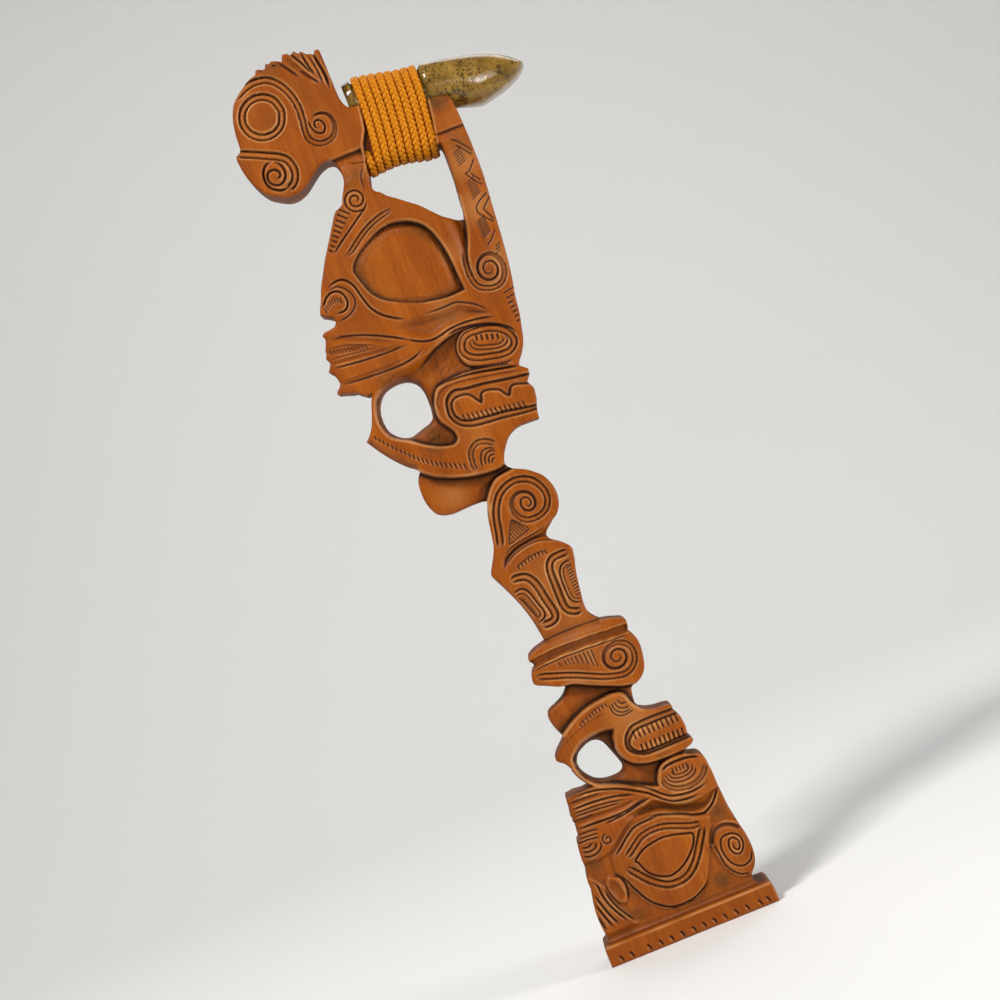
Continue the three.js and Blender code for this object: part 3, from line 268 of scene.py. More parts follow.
def sink(region, depth, wall=1.8, bulge=0.0):
    """Lowers the ground inside a closed path, over a wall of that width, with its middle left higher."""
    inset = depth_inside(region, max(np.max(wall) + 1, BULGE_REACH * bool(bulge)))
    deepen(depth * ease((inset + LIP) / wall) - bulge * rise(inset, *BULGE_RUN))


def groove(path, width, depth, profile, taper=0.0, narrow=1.0, dirt=1.0):
    """Cuts a groove along a path.

    taper is the share of its length over which each end runs out, narrow the share of its width that is left
    at the last point, and the last argument the strength of its stain and painted shade.
    """
    distance, along = near(path, width / 2 + STEP)
    fade = np.ones_like(along)
    if taper:
        fade = np.sqrt(ease(along / taper) * ease((1 - along) / taper))
    size = 1 + (narrow - 1) * along**2
    half_width = np.maximum(width / 2 * size * (RUN_OUT + (1 - RUN_OUT) * fade), LEAST_HALF)
    t = np.clip(distance / half_width, 0, 1)
    length = np.hypot(*np.diff(path, axis=0).T).sum()
    shape, dark, pale = profile(t, along * length, width * size)
    np.maximum(cut, depth * size**DEPTH_POWER * fade * shape, out=cut)
    np.maximum(cut_stain_and_shade, dirt * fade * dark, out=cut_stain_and_shade)
    np.maximum(wear_and_highlight, fade * size * pale, out=wear_and_highlight)


# The profiles give depth, stain with painted shade, and paleness from wear with a painted highlight, at a share t
# of the half width and a place along the groove.


def v_shape(t, place, width):
    """A V-cut with stain and painted shade at its foot."""
    return 0.5 + 0.5 * np.cos(math.pi * t), 1 - rise(t, 0.15, 0.9), 0


def bead_shape(t, place, width):
    """A channel with a rounded bead along it, crossed by tool marks, stain and painted shade in its two corners,
    and a crest paled by wear and a painted highlight.
    """
    ripple = 0.035 * np.sin(place * 3.7) + 0.02 * np.sin(place * 2.3 + 1)
    bead = 1 - (BEAD_RISE + ripple) * np.sqrt(np.clip(1 - (t / BEAD_SHARE) ** 2, 0, 1))
    dark = rise(t, 0.46, 0.7) * (1 - rise(t, 0.9, 1))
    v_depth, v_dark, _ = v_shape(t, place, width)
    wide = rise(width, *BEAD_WIDTHS)
    depth = wide * bead * (1 - rise(t, 0.76, 1)) + (1 - wide) * 0.8 * v_depth
    return depth, wide * dark + (1 - wide) * v_dark, wide * (1 - rise(t, 0, 0.5)) * (0.75 + 6 * ripple)


def hollow_shape(t, place, width):
    """A wide hollow channel with a clean floor and a little stain and painted shade in its corners."""
    return np.sqrt(1 - (0.84 * t) ** 2) * (1 - t**8), 0.7 * rise(t, 0.74, 0.88) * (1 - rise(t, 0.9, 1)), 0


def soft_shape(t, place, width):
    """A shallow valley that stays clean."""
    return 0.5 + 0.5 * np.cos(math.pi * t), 0, 0


def tick(*points, width, depth):
    """A V-cut straight from point to point."""
    groove(np.array(points, float), width, depth, v_shape)


def score(*points, width=1.5, depth=1.0, taper=0.12, dirt=1.0):
    """A fine V-cut through the points."""
    spare, deeper = SCORE_SPARE
    groove(smooth(*points), width + spare, deeper * depth, v_shape, taper, dirt=dirt)


def scores(*lines, **settings):
    for line in lines:
        score(*line, **settings)


def gouge(*points, width=4.6, depth=2.3, taper=0.06, narrow=1.0, profile=bead_shape):
    """A channel through the points."""
    spare, deeper = CHANNEL_SPARE if profile is bead_shape else (0, 1)
    groove(smooth(*points), width + spare, deeper * depth, profile, taper, narrow)


def comb(tops, slant, width=1.4, depth=0.9, grow=1.0):
    """A row of short cuts. slant is each one's run, and grow how many times longer the last one is."""
    spare, deeper = COMB_SPARE
    for top, length in zip(tops, np.linspace(1, grow, len(tops))):
        tick(top, np.array(top) + length * np.array(slant), width=width + spare, depth=deeper * depth)


def row(start, end, count):
    """Places in a straight row, for a comb."""
    return np.linspace(start, end, count)


def bevel(*points, width, depth):
    """A slope down to an edge of the outline, which stays clean."""
    groove(smooth(*points), 2 * width, depth, v_shape, taper=0.08, dirt=0)


# the head's disc and its ring, and the channels that run into spirals
gouge(*spiral((-55.6, 536), 11.8, 11.8, 1, 0)[::4], width=4.6, depth=2.5, taper=0)
gouge((-67.5, 550.4), (-64, 552.8), (-60, 554.9), (-53, 556.4), (-46, 555.4), (-41, 551.8), (-37, 546),
      (-34.6, 539), (-33.9, 532), (-34.4, 525), (-35.4, 519), (-35, 514.2), (-32, 510.3), (-28, 508.8),
      (-23, 509.4), (-19.6, 512.5), (-18, 517.2), (-18.9, 522), (-22, 525), (-26, 525.8),
      (-29.6, 524.4), width=4.5, narrow=0.55)
score((-31.6, 524.6), (-31.4, 520), (-29.6, 516), (-26.3, 514.3), (-24, 516.3), (-23.7, 519.2),
      (-25.1, 521.8), (-27.7, 522.4), (-29, 520.4), (-28.4, 518.2), (-26.6, 518), width=1.7, depth=1.4)
gouge((-77.6, 521.5), (-73, 519.6), (-67, 516.8), (-61, 513.8), (-55.5, 511), (-51.5, 507.5), (-49.8, 502.5),
      (-50.3, 497.5), (-53, 493.5), (-57.5, 491.2), width=4.8)
score((-59.5, 509.5), (-56.5, 507), (-55.2, 503), (-55.8, 499), (-58.5, 496.2), (-62, 495.7), (-65.2, 498),
      (-66, 501.5), (-64.5, 504.6), (-61, 505), (-58.6, 503), (-58.6, 500.4), (-60.6, 499.5),
      (-62.4, 500.8), width=2.1, depth=1.6)
score((-59.5, 509.9), (-64, 509.3), (-67, 506), (-68, 501.5), (-67.2, 497), (-64, 493.6), (-60, 492),
      (-55.5, 492.8), width=2.3, depth=1.9, taper=0.2)
# crest
scores([(-27.7, 565.4), (-25.1, 561.3), (-22, 555.3), (-19.4, 549)], [(-20.8, 562), (-19.7, 555), (-18, 547)],
       [(-25.3, 553.6), (-21.1, 547.5), (-17, 541.6)], width=1.9, depth=1.6, taper=0.2)
gouge((-31.4, 563), (-26, 555), (-19.6, 544), width=3.4, depth=0.9, taper=0.3, profile=hollow_shape)
score((-14.6, 560.5), (-13.4, 553), (-12.4, 545.2), (-12.6, 536.5), width=2.7, depth=2.0, taper=0.25)
score((-17.4, 560.5), (-16, 553), (-15.3, 545), (-15.4, 539), width=1.6, depth=0.9, taper=0.3)
score((-36, 563), (-31, 556), (-26.5, 549), width=2.4, depth=0.8, taper=0.3)
scores([(-47, 560.6), (-44.4, 562.6)], [(-39.4, 562), (-37, 560.4)], width=1.4, depth=1.0)

# the neck's spiral, bands and comb
groove(spiral((-23.3, 471), 7.3, 1.0, -2.1, -60), 1.8, 1.7, v_shape, 0.05)
score((-17.5, 468), (-20, 464.5), (-26, 460.5), (-32, 456.5), (-38, 452.5), (-43, 449), (-47, 446), depth=1.3)
gouge((-5, 458), (-8, 457.5), (-14, 456.5), (-20, 454.5), (-26, 451.5), (-32, 447.5), (-37, 444), (-42, 442),
      width=3.4, depth=2.0, taper=0.2)
comb([(-34, 469), (-36, 466.6), (-38, 464), (-39.8, 461.6), (-41.5, 459), (-43.2, 456.4), (-44.8, 454),
      (-46.6, 451.5), (-48.3, 449.2)], (4.6, -4.4), width=1.5, depth=1.1, grow=0.3)

# the great eye
EYE_RIM = closed(
    smooth((-40.5, 432), (-39, 436), (-35, 440.2), (-30, 443.7), (-25, 446.6), (-20, 449), (-15, 450.5),
           (-10, 451), (-5, 450.3), (0, 448.8), (4, 446.5), (8, 443), (11, 438.4), (13, 433), (14.5, 427),
           (15.5, 420), (16, 412), (16.3, 405), (16.6, 398.4)),
    smooth((16.6, 398.4), (10, 398), (5, 398), (0, 398.6), (-5, 399.5), (-10, 400.6), (-15, 402.5),
           (-20, 404.8), (-25, 407.3), (-30, 410.5), (-34, 414.5), (-36.5, 419), (-38.6, 425), (-40.5, 432)))
EYE_DISC = closed(smooth(
    (-32.8, 420), (-33.4, 427), (-31, 433.6), (-26, 438.6), (-18, 441.8), (-10, 442), (-3, 440), (3, 436),
    (7, 430.6), (9.5, 424), (10.6, 416), (10.6, 409), (7.6, 405), (0, 403.8), (-6, 404.8), (-13, 407.2),
    (-20, 409.4), (-27, 412.8), (-32.8, 420)))
EYE_REACH = 12
EYE_DEPTHS = (2.2, 3.8)  # beside the rim at the left, and how much more at the right
DISC_RISE = 0.85  # share of that depth that the ground comes up again to the disc
eye_inset, disc_inset = depth_inside(EYE_RIM, EYE_REACH), depth_inside(EYE_DISC, EYE_REACH)
across = np.clip(eye_inset / np.maximum(eye_inset - disc_inset, TINY), 0, 1)
to_the_right = rise(ALONG_X + 0.35 * (ALONG_Z - 425), -24, 10)
eye_depth = (1 - DISC_RISE * across) * (EYE_DEPTHS[0] + EYE_DEPTHS[1] * to_the_right)
deepen(np.where(eye_inset > -1, eye_depth * rise(eye_inset, -LIP, 1), 0))
groove(EYE_DISC, 1.6, 0.3, soft_shape)
score((-58, 429), (-52, 431), (-47, 430), (-43, 425), (-41, 417), (-38.5, 409), (-34, 403), (-28, 398.5),
      (-22, 395.3), width=2.0, depth=1.5)

# the small oval in front of the great eye
score((-65, 419.4), (-63, 421.4), (-60, 424.5), (-56, 426), (-52, 424.5), (-50, 421), (-50, 416.5),
      (-53, 413.4), (-59, 413.4), width=1.9, depth=1.5)
score((-60, 408.6), (-52, 409.6), (-46.6, 413.6), (-45.4, 418.6), (-47.4, 423.8), (-52, 427.8), (-58, 427.6),
      width=1.3, depth=0.8)
comb(row((-63.6, 420.4), (-53.4, 421.4), 8) + [[0, d] for d in (-1.6, -0.4, 0.4, 0.9, 1, 0.9, 0.4, -0.6)],
     (0.3, -2.6), width=1.1, depth=0.9)

# hair fan and the long S-hollow over the cheek
for line, width, depth in (
    ([(-72, 401.4), (-62, 399.6), (-54, 396), (-46, 392), (-38, 387.6), (-32, 384.6)], 5.2, 1.3),
    ([(-74, 394), (-64, 392.6), (-54, 390.4), (-46, 388.2)], 4.6, 1.0),
    ([(-75, 387.6), (-62, 386), (-50, 384.4), (-40, 383), (-30, 382)], 4.6, 1.5),
    ([(-74, 375), (-62, 374), (-48, 373.4), (-36, 373.4), (-27, 374.6)], 4.4, 1.3),
):
    gouge(*line, width=width, depth=depth, taper=0.3, profile=soft_shape)
scores([(-69, 400), (-60, 399.6), (-52, 397.2), (-45, 394.4), (-38, 391), (-32, 387.8), (-27, 384.8),
        (-23, 382.2)],
       [(-73, 384.6), (-60, 383), (-50, 382), (-40, 381.4), (-26, 381.2)],
       [(-72, 373.8), (-60, 372.6), (-45, 371.7), (-35, 371.6), (-28, 372.4), (-22, 374.2), (-18.4, 376.8)],
       width=1.9, depth=1.2, taper=0.2)
scores([(-72, 396), (-60, 394.2), (-50, 390.6), (-42, 387)], [(-74, 390), (-62, 388.8), (-50, 387.2),
                                                              (-41, 386)],
       width=1.1, depth=0.5, taper=0.25, dirt=0.7)
comb(row((-70, 394.8), (-50, 390.4), 11), (0.9, -2.6), width=1.0, depth=0.5)
S_HOLLOW = closed(
    smooth((-40, 403), (-34, 400.6), (-28, 397.6), (-22, 395.4), (-16, 394.5), (-8, 393.8), (0, 393.4),
           (8, 393.6), (12, 392.2), (18, 388.8), (22, 385.2), (27, 380)),
    smooth((27, 378.6), (20, 380), (10, 381), (0, 381.2), (-6, 379.8), (-12, 379.2), (-18, 380.4),
           (-24, 383.8), (-32, 388.6), (-40, 393)))
sink(S_HOLLOW, 3.6 * rise(ALONG_X, -38, -14), wall=5.5)
score((-27, 385), (-24, 383), (-20, 380.6), (-15, 378.8), (-11, 378.4), (-6, 379.2), (0, 380.5), (8, 380.8),
      (15, 380.2), (22, 378.8), (27, 377), width=1.9, depth=1.3)
score((-12, 394.2), (-4, 393.6), (2, 393.5), (8, 393.7), (12, 392.2), (18, 388.8), (22, 385.2),
      (26, 381), width=1.7, depth=0.9, taper=0.25)

# strut: chevrons and hatching, and the spiral at its foot
for line in (
    [(42, 482.5), (45, 480), (48, 476), (50.4, 472.6)], [(43, 478), (46.4, 474.6), (49.4, 470.4)],
    [(49.5, 467), (45, 461.8), (42, 461)], [(42, 461), (45, 456), (48.4, 451.8)], [(45, 460), (48.6, 454.4)],
    [(49, 446), (44, 443.5), (40.5, 440.5), (40, 437.5)], [(40, 437.5), (43, 433), (46.6, 429.4)],
    [(50, 443.5), (44, 438)], [(44, 438), (47.2, 430.8)], [(45.4, 424), (42, 420), (38.5, 417.5)],
):
    tick(*line, width=1.4, depth=1.0)
comb(row((40.3, 466.8), (40.3, 474.5), 6), (4.4, 1.6), width=0.9, depth=0.7)
comb(row((40.8, 445.5), (40.8, 455.5), 8), (5, 2.5), width=0.9, depth=0.7)
comb(row((37.8, 422.3), (37.8, 432), 8), (5.2, 2.5), width=0.9, depth=0.7)
comb([(41, 411), (41.8, 413), (42.6, 415)], (3, 1.4), width=1.0, depth=0.7)
gouge((24, 420), (22.4, 409), (22.6, 402), (24.6, 397), (29, 394.4), (34, 393.4), (38.5, 395), (41.5, 399),
      (42.4, 404), (41.2, 409), (38, 412.4), (33.6, 412.8), (29.6, 410.4), (27.6, 406.2), (28.2, 401.8),
      (31.2, 398.6), (35.2, 398.4), (38.2, 401), (38.8, 405), (36.8, 408.2), (33.4, 408.6), (31, 406),
      (31.4, 402.8), (34, 401.8), (35.6, 404), (34, 405.4), width=3.6, depth=1.9, narrow=0.3)
comb([(36.8, 388), (37, 384.5)], (7, 1.4), width=1.1, depth=0.9)
comb(row((37, 381.5), (37.8, 370), 5), (2.6, 0.4), width=1.3, depth=0.9)

# the oval with teeth on the cheek
score((-4, 377.4), (3, 378.5), (10, 378), (17, 376.5), (24, 374), (29, 371), (33, 367.5),
      (34.6, 363.5), width=1.9, depth=1.5)
gouge((16, 373.4), (8.6, 373.7), (4.6, 371.9), (2.2, 368), (2.2, 364.4), (4.6, 361), (9.4, 358.5),
      (16, 356.8), (23, 355.4), (28, 356), (31.6, 359), (31.7, 363), (29.6, 367), (25, 370.6), (20, 372.6),
      (16, 373.4), width=4.2, depth=2.0, taper=0)
scores([(7.6, 370.4), (7.2, 366.8), (9.6, 363.6), (15, 361.4), (21, 359.8), (26, 359.9), (28.6, 362.4),
        (27.4, 366)],
       [(9.6, 370.4), (9.8, 367.2), (12.4, 364.9), (18, 363.1), (23, 361.8), (26.2, 362.8), (26.4, 364.6)],
       width=1.1, depth=0.9)
comb(row((12.2, 371.2), (24, 367.4), 5), (-0.3, -2.6), width=1.7, depth=1.2)
score((-1, 358), (2, 356), (8, 353.9), (15, 351.9), (22, 350.5), (28, 350.2), width=1.2, depth=0.8)

# upper mouth: lip, tongue and teeth
score((-22, 351.6), (-15, 352.8), (-5, 352.5), (5, 351), (14, 349), (24, 346.8),
      (29.4, 345.4), width=2.4, depth=2.0)
MOUTH = closed(
    smooth((-20.3, 336), (-19.4, 341), (-17, 344.8), (-12, 347.2), (-5, 345.8), (5, 344.6), (15, 342.8),
           (25, 341), (35, 339.6)),
    smooth((35, 318.4), (29, 317.8), (24, 318), (16, 319), (8, 320.2), (0, 320.9), (-8, 322), (-14, 324.2),
           (-18.2, 328), (-20.3, 333), (-20.3, 336)))
TONGUE = closed(
    smooth((-16, 336), (-15, 339.6), (-12, 341.4), (-7, 341.2), (-4, 339.4), (-2, 336.5), (0.5, 333.4),
           (2, 335), (3, 338), (5.4, 338.8), (10, 337.6), (13, 336), (15, 332.8), (17.3, 330.9),
           (18.8, 332.5), (20.4, 335.2), (23, 335.6), (28, 334), (36, 331.4)),
    smooth((36, 321.2), (30, 321.4), (24, 322.2), (15, 324), (10, 324.9), (5, 325.3), (0, 326), (-5, 326.6),
           (-10, 327.6), (-13.4, 329.2), (-15.6, 332.4), (-16, 336)))


MOAT_REACH = 6
BEAD_RUN = 1.6  # over which the bead in a moat comes up from each side


def moat(outline, island, depth):
    """A channel between two closed paths, with a bead along it, stain and painted shade in its corners, and a
    crest paled by wear and a painted highlight.
    """
    out, off = depth_inside(outline, MOAT_REACH), -depth_inside(island, MOAT_REACH)
    bead = np.sqrt(np.clip(out - 0.9, 0, BEAD_RUN) * np.clip(off - 0.7, 0, BEAD_RUN)) / BEAD_RUN
    deepen(depth * rise(out, -LIP, 0.8) * rise(off, -0.35, 0.65) * (1 - 0.5 * bead))
    corner = 1 - np.minimum(np.abs(out - 0.8), np.abs(off - 0.8)) / 0.9
    between = (out > -0.1) & (off > -0.1)
    np.maximum(cut_stain_and_shade, between * np.clip(1.4 * corner, 0, 1), out=cut_stain_and_shade)
    on_bead = (off > 0) & (np.minimum(out, off) < 2.6)
    np.maximum(wear_and_highlight, 0.7 * rise(bead, 0.3, 1) * on_bead, out=wear_and_highlight)


moat(MOUTH, TONGUE, 3.4)
comb(row((-12.3, 331), (23, 325.2), 14), (0.5, -3.2), width=1.3, depth=1.1)
score((-20.6, 337), (-24, 341.5), (-22, 346), (-17, 349.4), (-10, 349.9), (-2, 348.9), (8, 347.2),
      (20, 344.8), (30, 342.4), width=0.8, depth=0.3)

# jaw: comb along its edge, bevel under it and the fan at its hinge
JAW_COMB = smooth((-64.6, 338.4), (-61.8, 335), (-58.5, 331), (-55, 327.3), (-51.8, 323.8), (-48.5, 320.4),
                  (-45, 317.2), (-41.5, 314.5), (-38, 312.1), (-34.5, 310), (-31, 308.2), (-27.5, 306.6),
                  (-24, 305), (-22.4, 304.2), spacing=0.1)
comb(JAW_COMB[np.linspace(0, len(JAW_COMB) - 1, 21).astype(int)],
     (0.25, -1.5), width=1.15, depth=1.1, grow=2.0)
bevel((-70.3, 337.3), (-65.5, 329.5), (-60, 322), (-54, 315.5), (-48, 310.4), width=4, depth=3.0)
gouge((-17.2, 298), (-17.2, 304), (-16, 309), (-13, 312), (-9, 312.9), (-4.5, 311.4),
      (-0.8, 308.4), width=3.3, depth=1.9)
scores([(-12.9, 298.4), (-12.2, 303), (-10, 306.8), (-6, 307.8), (-2, 305.8)],
       [(-10.6, 298.6), (-9.8, 302.6), (-7.6, 305.2), (-4.6, 305.6), (-2, 304.2)],
       [(-8.6, 298.4), (-7.8, 301.6), (-5.8, 303.3), (-3, 302.8)], [(-6.8, 298.4), (-6, 300.4), (-4, 301)],
       width=1.2, depth=1.0)

# hollows and necks, the ground between the figures
UPPER_NAPE = closed(
    smooth((-48.8, 311.2), (-44, 306.8), (-40, 304), (-35, 301.6), (-30, 299.5), (-20, 296.6), (-10, 295.1),
           (-3, 295)),
    [(3, 297.4), (8, 292.4), (2, 290.6)],
    smooth((2, 290.6), (-3, 290.2), (-8, 289), (-12, 286), (-15, 282.5), (-17.6, 278.8)),
    [(-20, 270), (-60, 270), (-60, 308)])
LOWER_NAPE = closed(
    smooth((-29.5, 134.4), (-27, 136.3), (-22, 139.5), (-15, 143), (-8, 145.3), (0, 146.5), (7, 147),
           (12, 146), (14.2, 143.6), (15.4, 139.6), (17.4, 136), (20.4, 132.6)),
    [(26, 134), (26, 147.6)],
    smooth((21.4, 148.6), (15, 150), (8, 152.9), (0, 156.4), (-10, 161.3), (-16, 162.8)),
    [(-20, 162.6), (-38, 161), (-38, 134)])
UPPER_HOLLOW = closed(
    smooth((-59.8, 345), (-58.6, 352), (-55.6, 359.2), (-50, 365.6), (-40, 369.2), (-30, 370.1), (-20, 371.8),
           (-12, 374.3), (-5, 376.6), (2, 378), (10, 377.9), (18, 376.6), (25, 374), (30, 371)),
    smooth((28, 370.6), (22, 373.4), (14, 375.2), (7, 375.6), (2.4, 373), (0, 369), (-0.6, 364.6), (0.4, 360),
           (3.2, 356.4), (9, 353.6), (16, 351.4), (23, 350)),
    smooth((25, 347.6), (15, 350.2), (5, 352), (-5, 353.2), (-13, 352.9), (-20, 351), (-23.6, 346),
           (-25.4, 340.6), (-25.6, 335), (-24.4, 331), (-21.6, 327), (-19.8, 323.4), (-19.6, 320),
           (-21.6, 317.4), (-25, 316.9), (-30, 318.2), (-35, 320.5), (-40, 323.5), (-46, 328), (-51, 331),
           (-55, 333.6), (-58, 338), (-59.8, 345)))
for x, z in ((-17, 357), (-14, 359), (-11.4, 356.6), (-9, 360), (-6, 358), (-20, 361), (-12, 363.4),
             (-5, 363)):
    score((x, z), (x + 3, z + 2), (x + 5.6, z + 4.6), width=1.7, depth=0.35, taper=0.4, dirt=0.15)
LOWER_HOLLOW = closed(
    smooth((-28.8, 115), (-28.6, 120.6), (-26, 124.8), (-21, 128.4), (-15, 130.2), (-8, 130.9), (-2, 130.2),
           (1.6, 128.8)),
    smooth((1.6, 128.8), (1, 125), (-1, 121), (-1.8, 117), (-1, 113), (0.6, 109.6), (3.6, 106.2), (8, 104),
           (13, 102.6), (20, 102), (28, 102), (41, 103)),
    [(41, 99.8), (36, 98.6)],
    smooth((33, 99), (27, 99.6), (21, 98.8), (17.4, 96.4), (14.6, 92), (13, 87)),
    smooth((13, 87), (8, 88.4), (0, 92.8), (-8, 96.6), (-15, 99.3), (-19, 100.6), (-23, 103.6),
           (-26.8, 108.6), (-28.8, 115)))
VALLEY_CREST = smooth((13.4, 451), (16, 446), (17.9, 440), (19, 434), (19.8, 424), (20.2, 413), (20.6, 404))
STRUT_FOOT = smooth((23.6, 404), (24.6, 411), (26.4, 418), (29, 424.4), (31, 431), (32.6, 440), (34, 451))
STRUT_VALLEY = closed(VALLEY_CREST, STRUT_FOOT)
sink(UPPER_NAPE, HOLLOW, bulge=1.5)
sink(LOWER_NAPE, HOLLOW, bulge=1.5)
# both hollows are shallower to the right, and have a longer wall over their hole
over_hole = rise(ALONG_Z, 357, 364) * (1 - rise(ALONG_X, -30, -12))
upper_depth = np.interp(ALONG_X, (-24, -8, 6, 30), (HOLLOW - 0.5, 6, 3.2, 1.6))
sink(UPPER_HOLLOW, upper_depth, wall=1.6 + 5 * over_hole)
over_hole = rise(ALONG_Z, 120, 125)
lower_depth = np.interp(ALONG_X, (6, 20, 34), (HOLLOW - 0.5, 6, 3))
sink(LOWER_HOLLOW, lower_depth, wall=1.8 + 2.2 * over_hole)
# the valley falls from its crest to the strut
VALLEY_REACH, FOOT_REACH = 14, 3
crest_gap = np.minimum(near(VALLEY_CREST, VALLEY_REACH)[0], VALLEY_REACH)
foot_gap = np.minimum(near(STRUT_FOOT, FOOT_REACH)[0], FOOT_REACH)
slope = 1.35 * ease(crest_gap / 15 + 0.02) * rise(foot_gap, -LIP, 1)
deepen((HOLLOW - 1) * np.minimum(slope, 1) * inside(STRUT_VALLEY))
NOTCH = closed(
    smooth((-25, 236.4), (-21, 239.4), (-17, 242.4), (-12, 244.4), (-5, 245.8), (0, 246), (5, 244.6),
           (10, 242.6), (16, 239)),
    [(24, 240), (24, 256)],
    smooth((13.6, 256.4), (8, 254), (2, 252.3), (-5, 251.4), (-12, 250.3), (-17, 248.2), (-22, 244.6),
           (-25, 236.4)))
sink(NOTCH, 4.2, wall=4.2)
scores([(-21, 240), (-17, 243.2), (-12, 245.2), (-5, 246.6), (0, 246.8), (5, 245.6), (10, 243.4)],
       [(-20, 246.4), (-14, 249.2), (-8, 250.4), (0, 251.4), (7, 253)], width=1.2, depth=0.6, dirt=0.8)

# teardrop spiral
gouge((-20.8, 250.5), (-19.3, 256), (-18, 261), (-17, 266), (-15.5, 271), (-13, 276), (-9.5, 280.3),
      (-5, 283), (0, 284.3), (5, 283.8), (10, 281.5), (13.5, 277.5), (15.5, 272.5), (15.4, 267.5),
      (13, 263), (9, 260.5), (5, 259.7), (0, 260.2), (-3.5, 263), (-5.5, 267), (-5.5, 271.5), (-3.5, 275),
      (0, 276.8), (4, 276.3), (7, 274), (8.2, 270.8), (7.6, 267), (5.6, 265.2), (2.6, 265), (0.2, 267),
      (-0.4, 270), (1, 272.6), (3.6, 273), (5.6, 271), (5.4, 268.4), (3.6, 267.4), (2.2, 269.2),
      (3.4, 270.4), width=4.6, depth=2.3, taper=0.03, narrow=0.26)
score((-9, 264.6), (-11.6, 259), (-14.8, 251.4), (-8, 253), (-1.6, 255.2), (-5, 260),
      (-9, 264.6), width=0.9, depth=0.6)
for x, z, top_x, top_z in ((-13.2, 252.6, -13.6, 254.6), (-11.6, 253, -12.4, 257),
                           (-9.9, 253.5, -11.3, 259.4), (-8.2, 254, -10.4, 261), (-6.5, 254.4, -9.6, 262.4),
                           (-4.8, 254.8, -9, 263.4), (-3.2, 255.2, -8.4, 263.8)):
    tick((x, z), (top_x, top_z), width=1.1, depth=1.0)

# trapezoid with two hooked channels
comb([(-15.5, 237.2), (-13, 238.1), (-10.7, 238.8), (-8.3, 239.3), (-6.2, 239.7), (-4, 240), (-1.7, 240.2),
      (0.6, 240.1), (2.4, 239.8)], (0.3, -1.7), width=1.3, depth=1.0)
score((-16.4, 237), (-11, 238.9), (-5, 240.1), (2.8, 240), width=0.8, depth=0.4)
gouge((-22.5, 230.8), (-18, 231), (-13.5, 229.6), (-10.5, 226), (-8.8, 221), (-7.8, 215), (-6.8, 210),
      (-5.8, 205), (-6.4, 201.4), (-10, 199.7), (-15.5, 199.9), width=4.9, depth=2.4)
scores([(-24.6, 223.2), (-21, 224.2), (-18, 224), (-15.5, 221.6), (-13.8, 217), (-12.5, 212), (-11.2, 208),
        (-11.5, 204.6), (-14, 202.8), (-17.6, 202)],
       [(15.4, 229.3), (11, 229.3), (8, 228), (6, 225), (5.2, 220), (5.2, 213), (5.8, 208), (8, 205.4),
        (12, 204.2)],
       width=1.6, depth=1.3)
scores([(-23.6, 221.2), (-20, 221.8), (-17.4, 220), (-15.6, 215), (-14.2, 210), (-13.9, 206.4), (-17, 204.4)],
       [(14.6, 227.2), (11, 227.2), (8.4, 225.4), (7.2, 221), (7, 214), (7.5, 208.8), (9.6, 206.8),
        (12.4, 206)],
       width=0.9, depth=0.7)
comb(row((-22, 219.6), (-17.2, 207), 8), (2.6, -2), width=1.1, depth=0.8, grow=0.8)
gouge((15, 234.4), (9, 234.6), (4.6, 233.8), (2, 231), (0.9, 226.6), (0.8, 219), (0.7, 211), (0.9, 206),
      (2.4, 202.4), (6, 200.4), (10, 200.2), width=4.6, depth=2.5)
comb(row((10, 209), (10.4, 225.6), 10), (2.8, 0.6), width=1.0, depth=0.8)
bevel((-31.6, 236.8), (-28.5, 230), (-25, 222), (-22, 214), (-19.5, 205), (-18, 196), width=1.6, depth=1.0)
score((-18, 191.2), (-8, 191.8), (2, 191.7), (12, 191.4), (18, 190.9), width=1.2, depth=0.8, taper=0.05)
bevel((-18, 189.6), (-8, 190.4), (2, 190.3), (12, 190), (18, 189.6), width=5, depth=1.6)

# collar and hook
gouge((-30, 180.8), (-20, 181.8), (-10, 182.2), (0, 181.8), (10, 181.4), (20, 180.6),
      (31, 180.2), width=5.6, depth=3.2, taper=0.02, profile=hollow_shape)
score((-31, 176.9), (-20, 177.8), (-8, 178), (5, 177.6), (18, 177), (31, 176.6), width=1.2, depth=0.8)
for x, drop in ((-14.5, 2), (-11, 2.5), (-8.8, 3), (-6.8, 3.5), (-4.3, 4.5), (-1.5, 5), (1, 7), (3.5, 9),
                (5.7, 10)):
    tick((x, 176.2), (x + 0.4, 176.2 - drop), width=1.2, depth=1.1)
gouge((-30.4, 173), (-26, 172), (-20, 170), (-14, 168), (-8, 165.6), (0, 161.9), (7, 158.7), (13, 156.8),
      (19, 155.8), (24, 157.5), (27.5, 161.5), (28.4, 167), (26.5, 171.5), (22, 174.2), (17, 174.2),
      (13, 172.3), (10.8, 169), (10.6, 165.2), (12.8, 161.9), (16.6, 160.4), (20.6, 161.2), (23.4, 164.4),
      (23.2, 168.4), (20.2, 170.8), (16.8, 170.2), (15, 167.4), (16.2, 164.6), (19, 164.2), (20.4, 166.6),
      (18.6, 168), width=4.2, depth=2.1, taper=0.04, narrow=0.3)

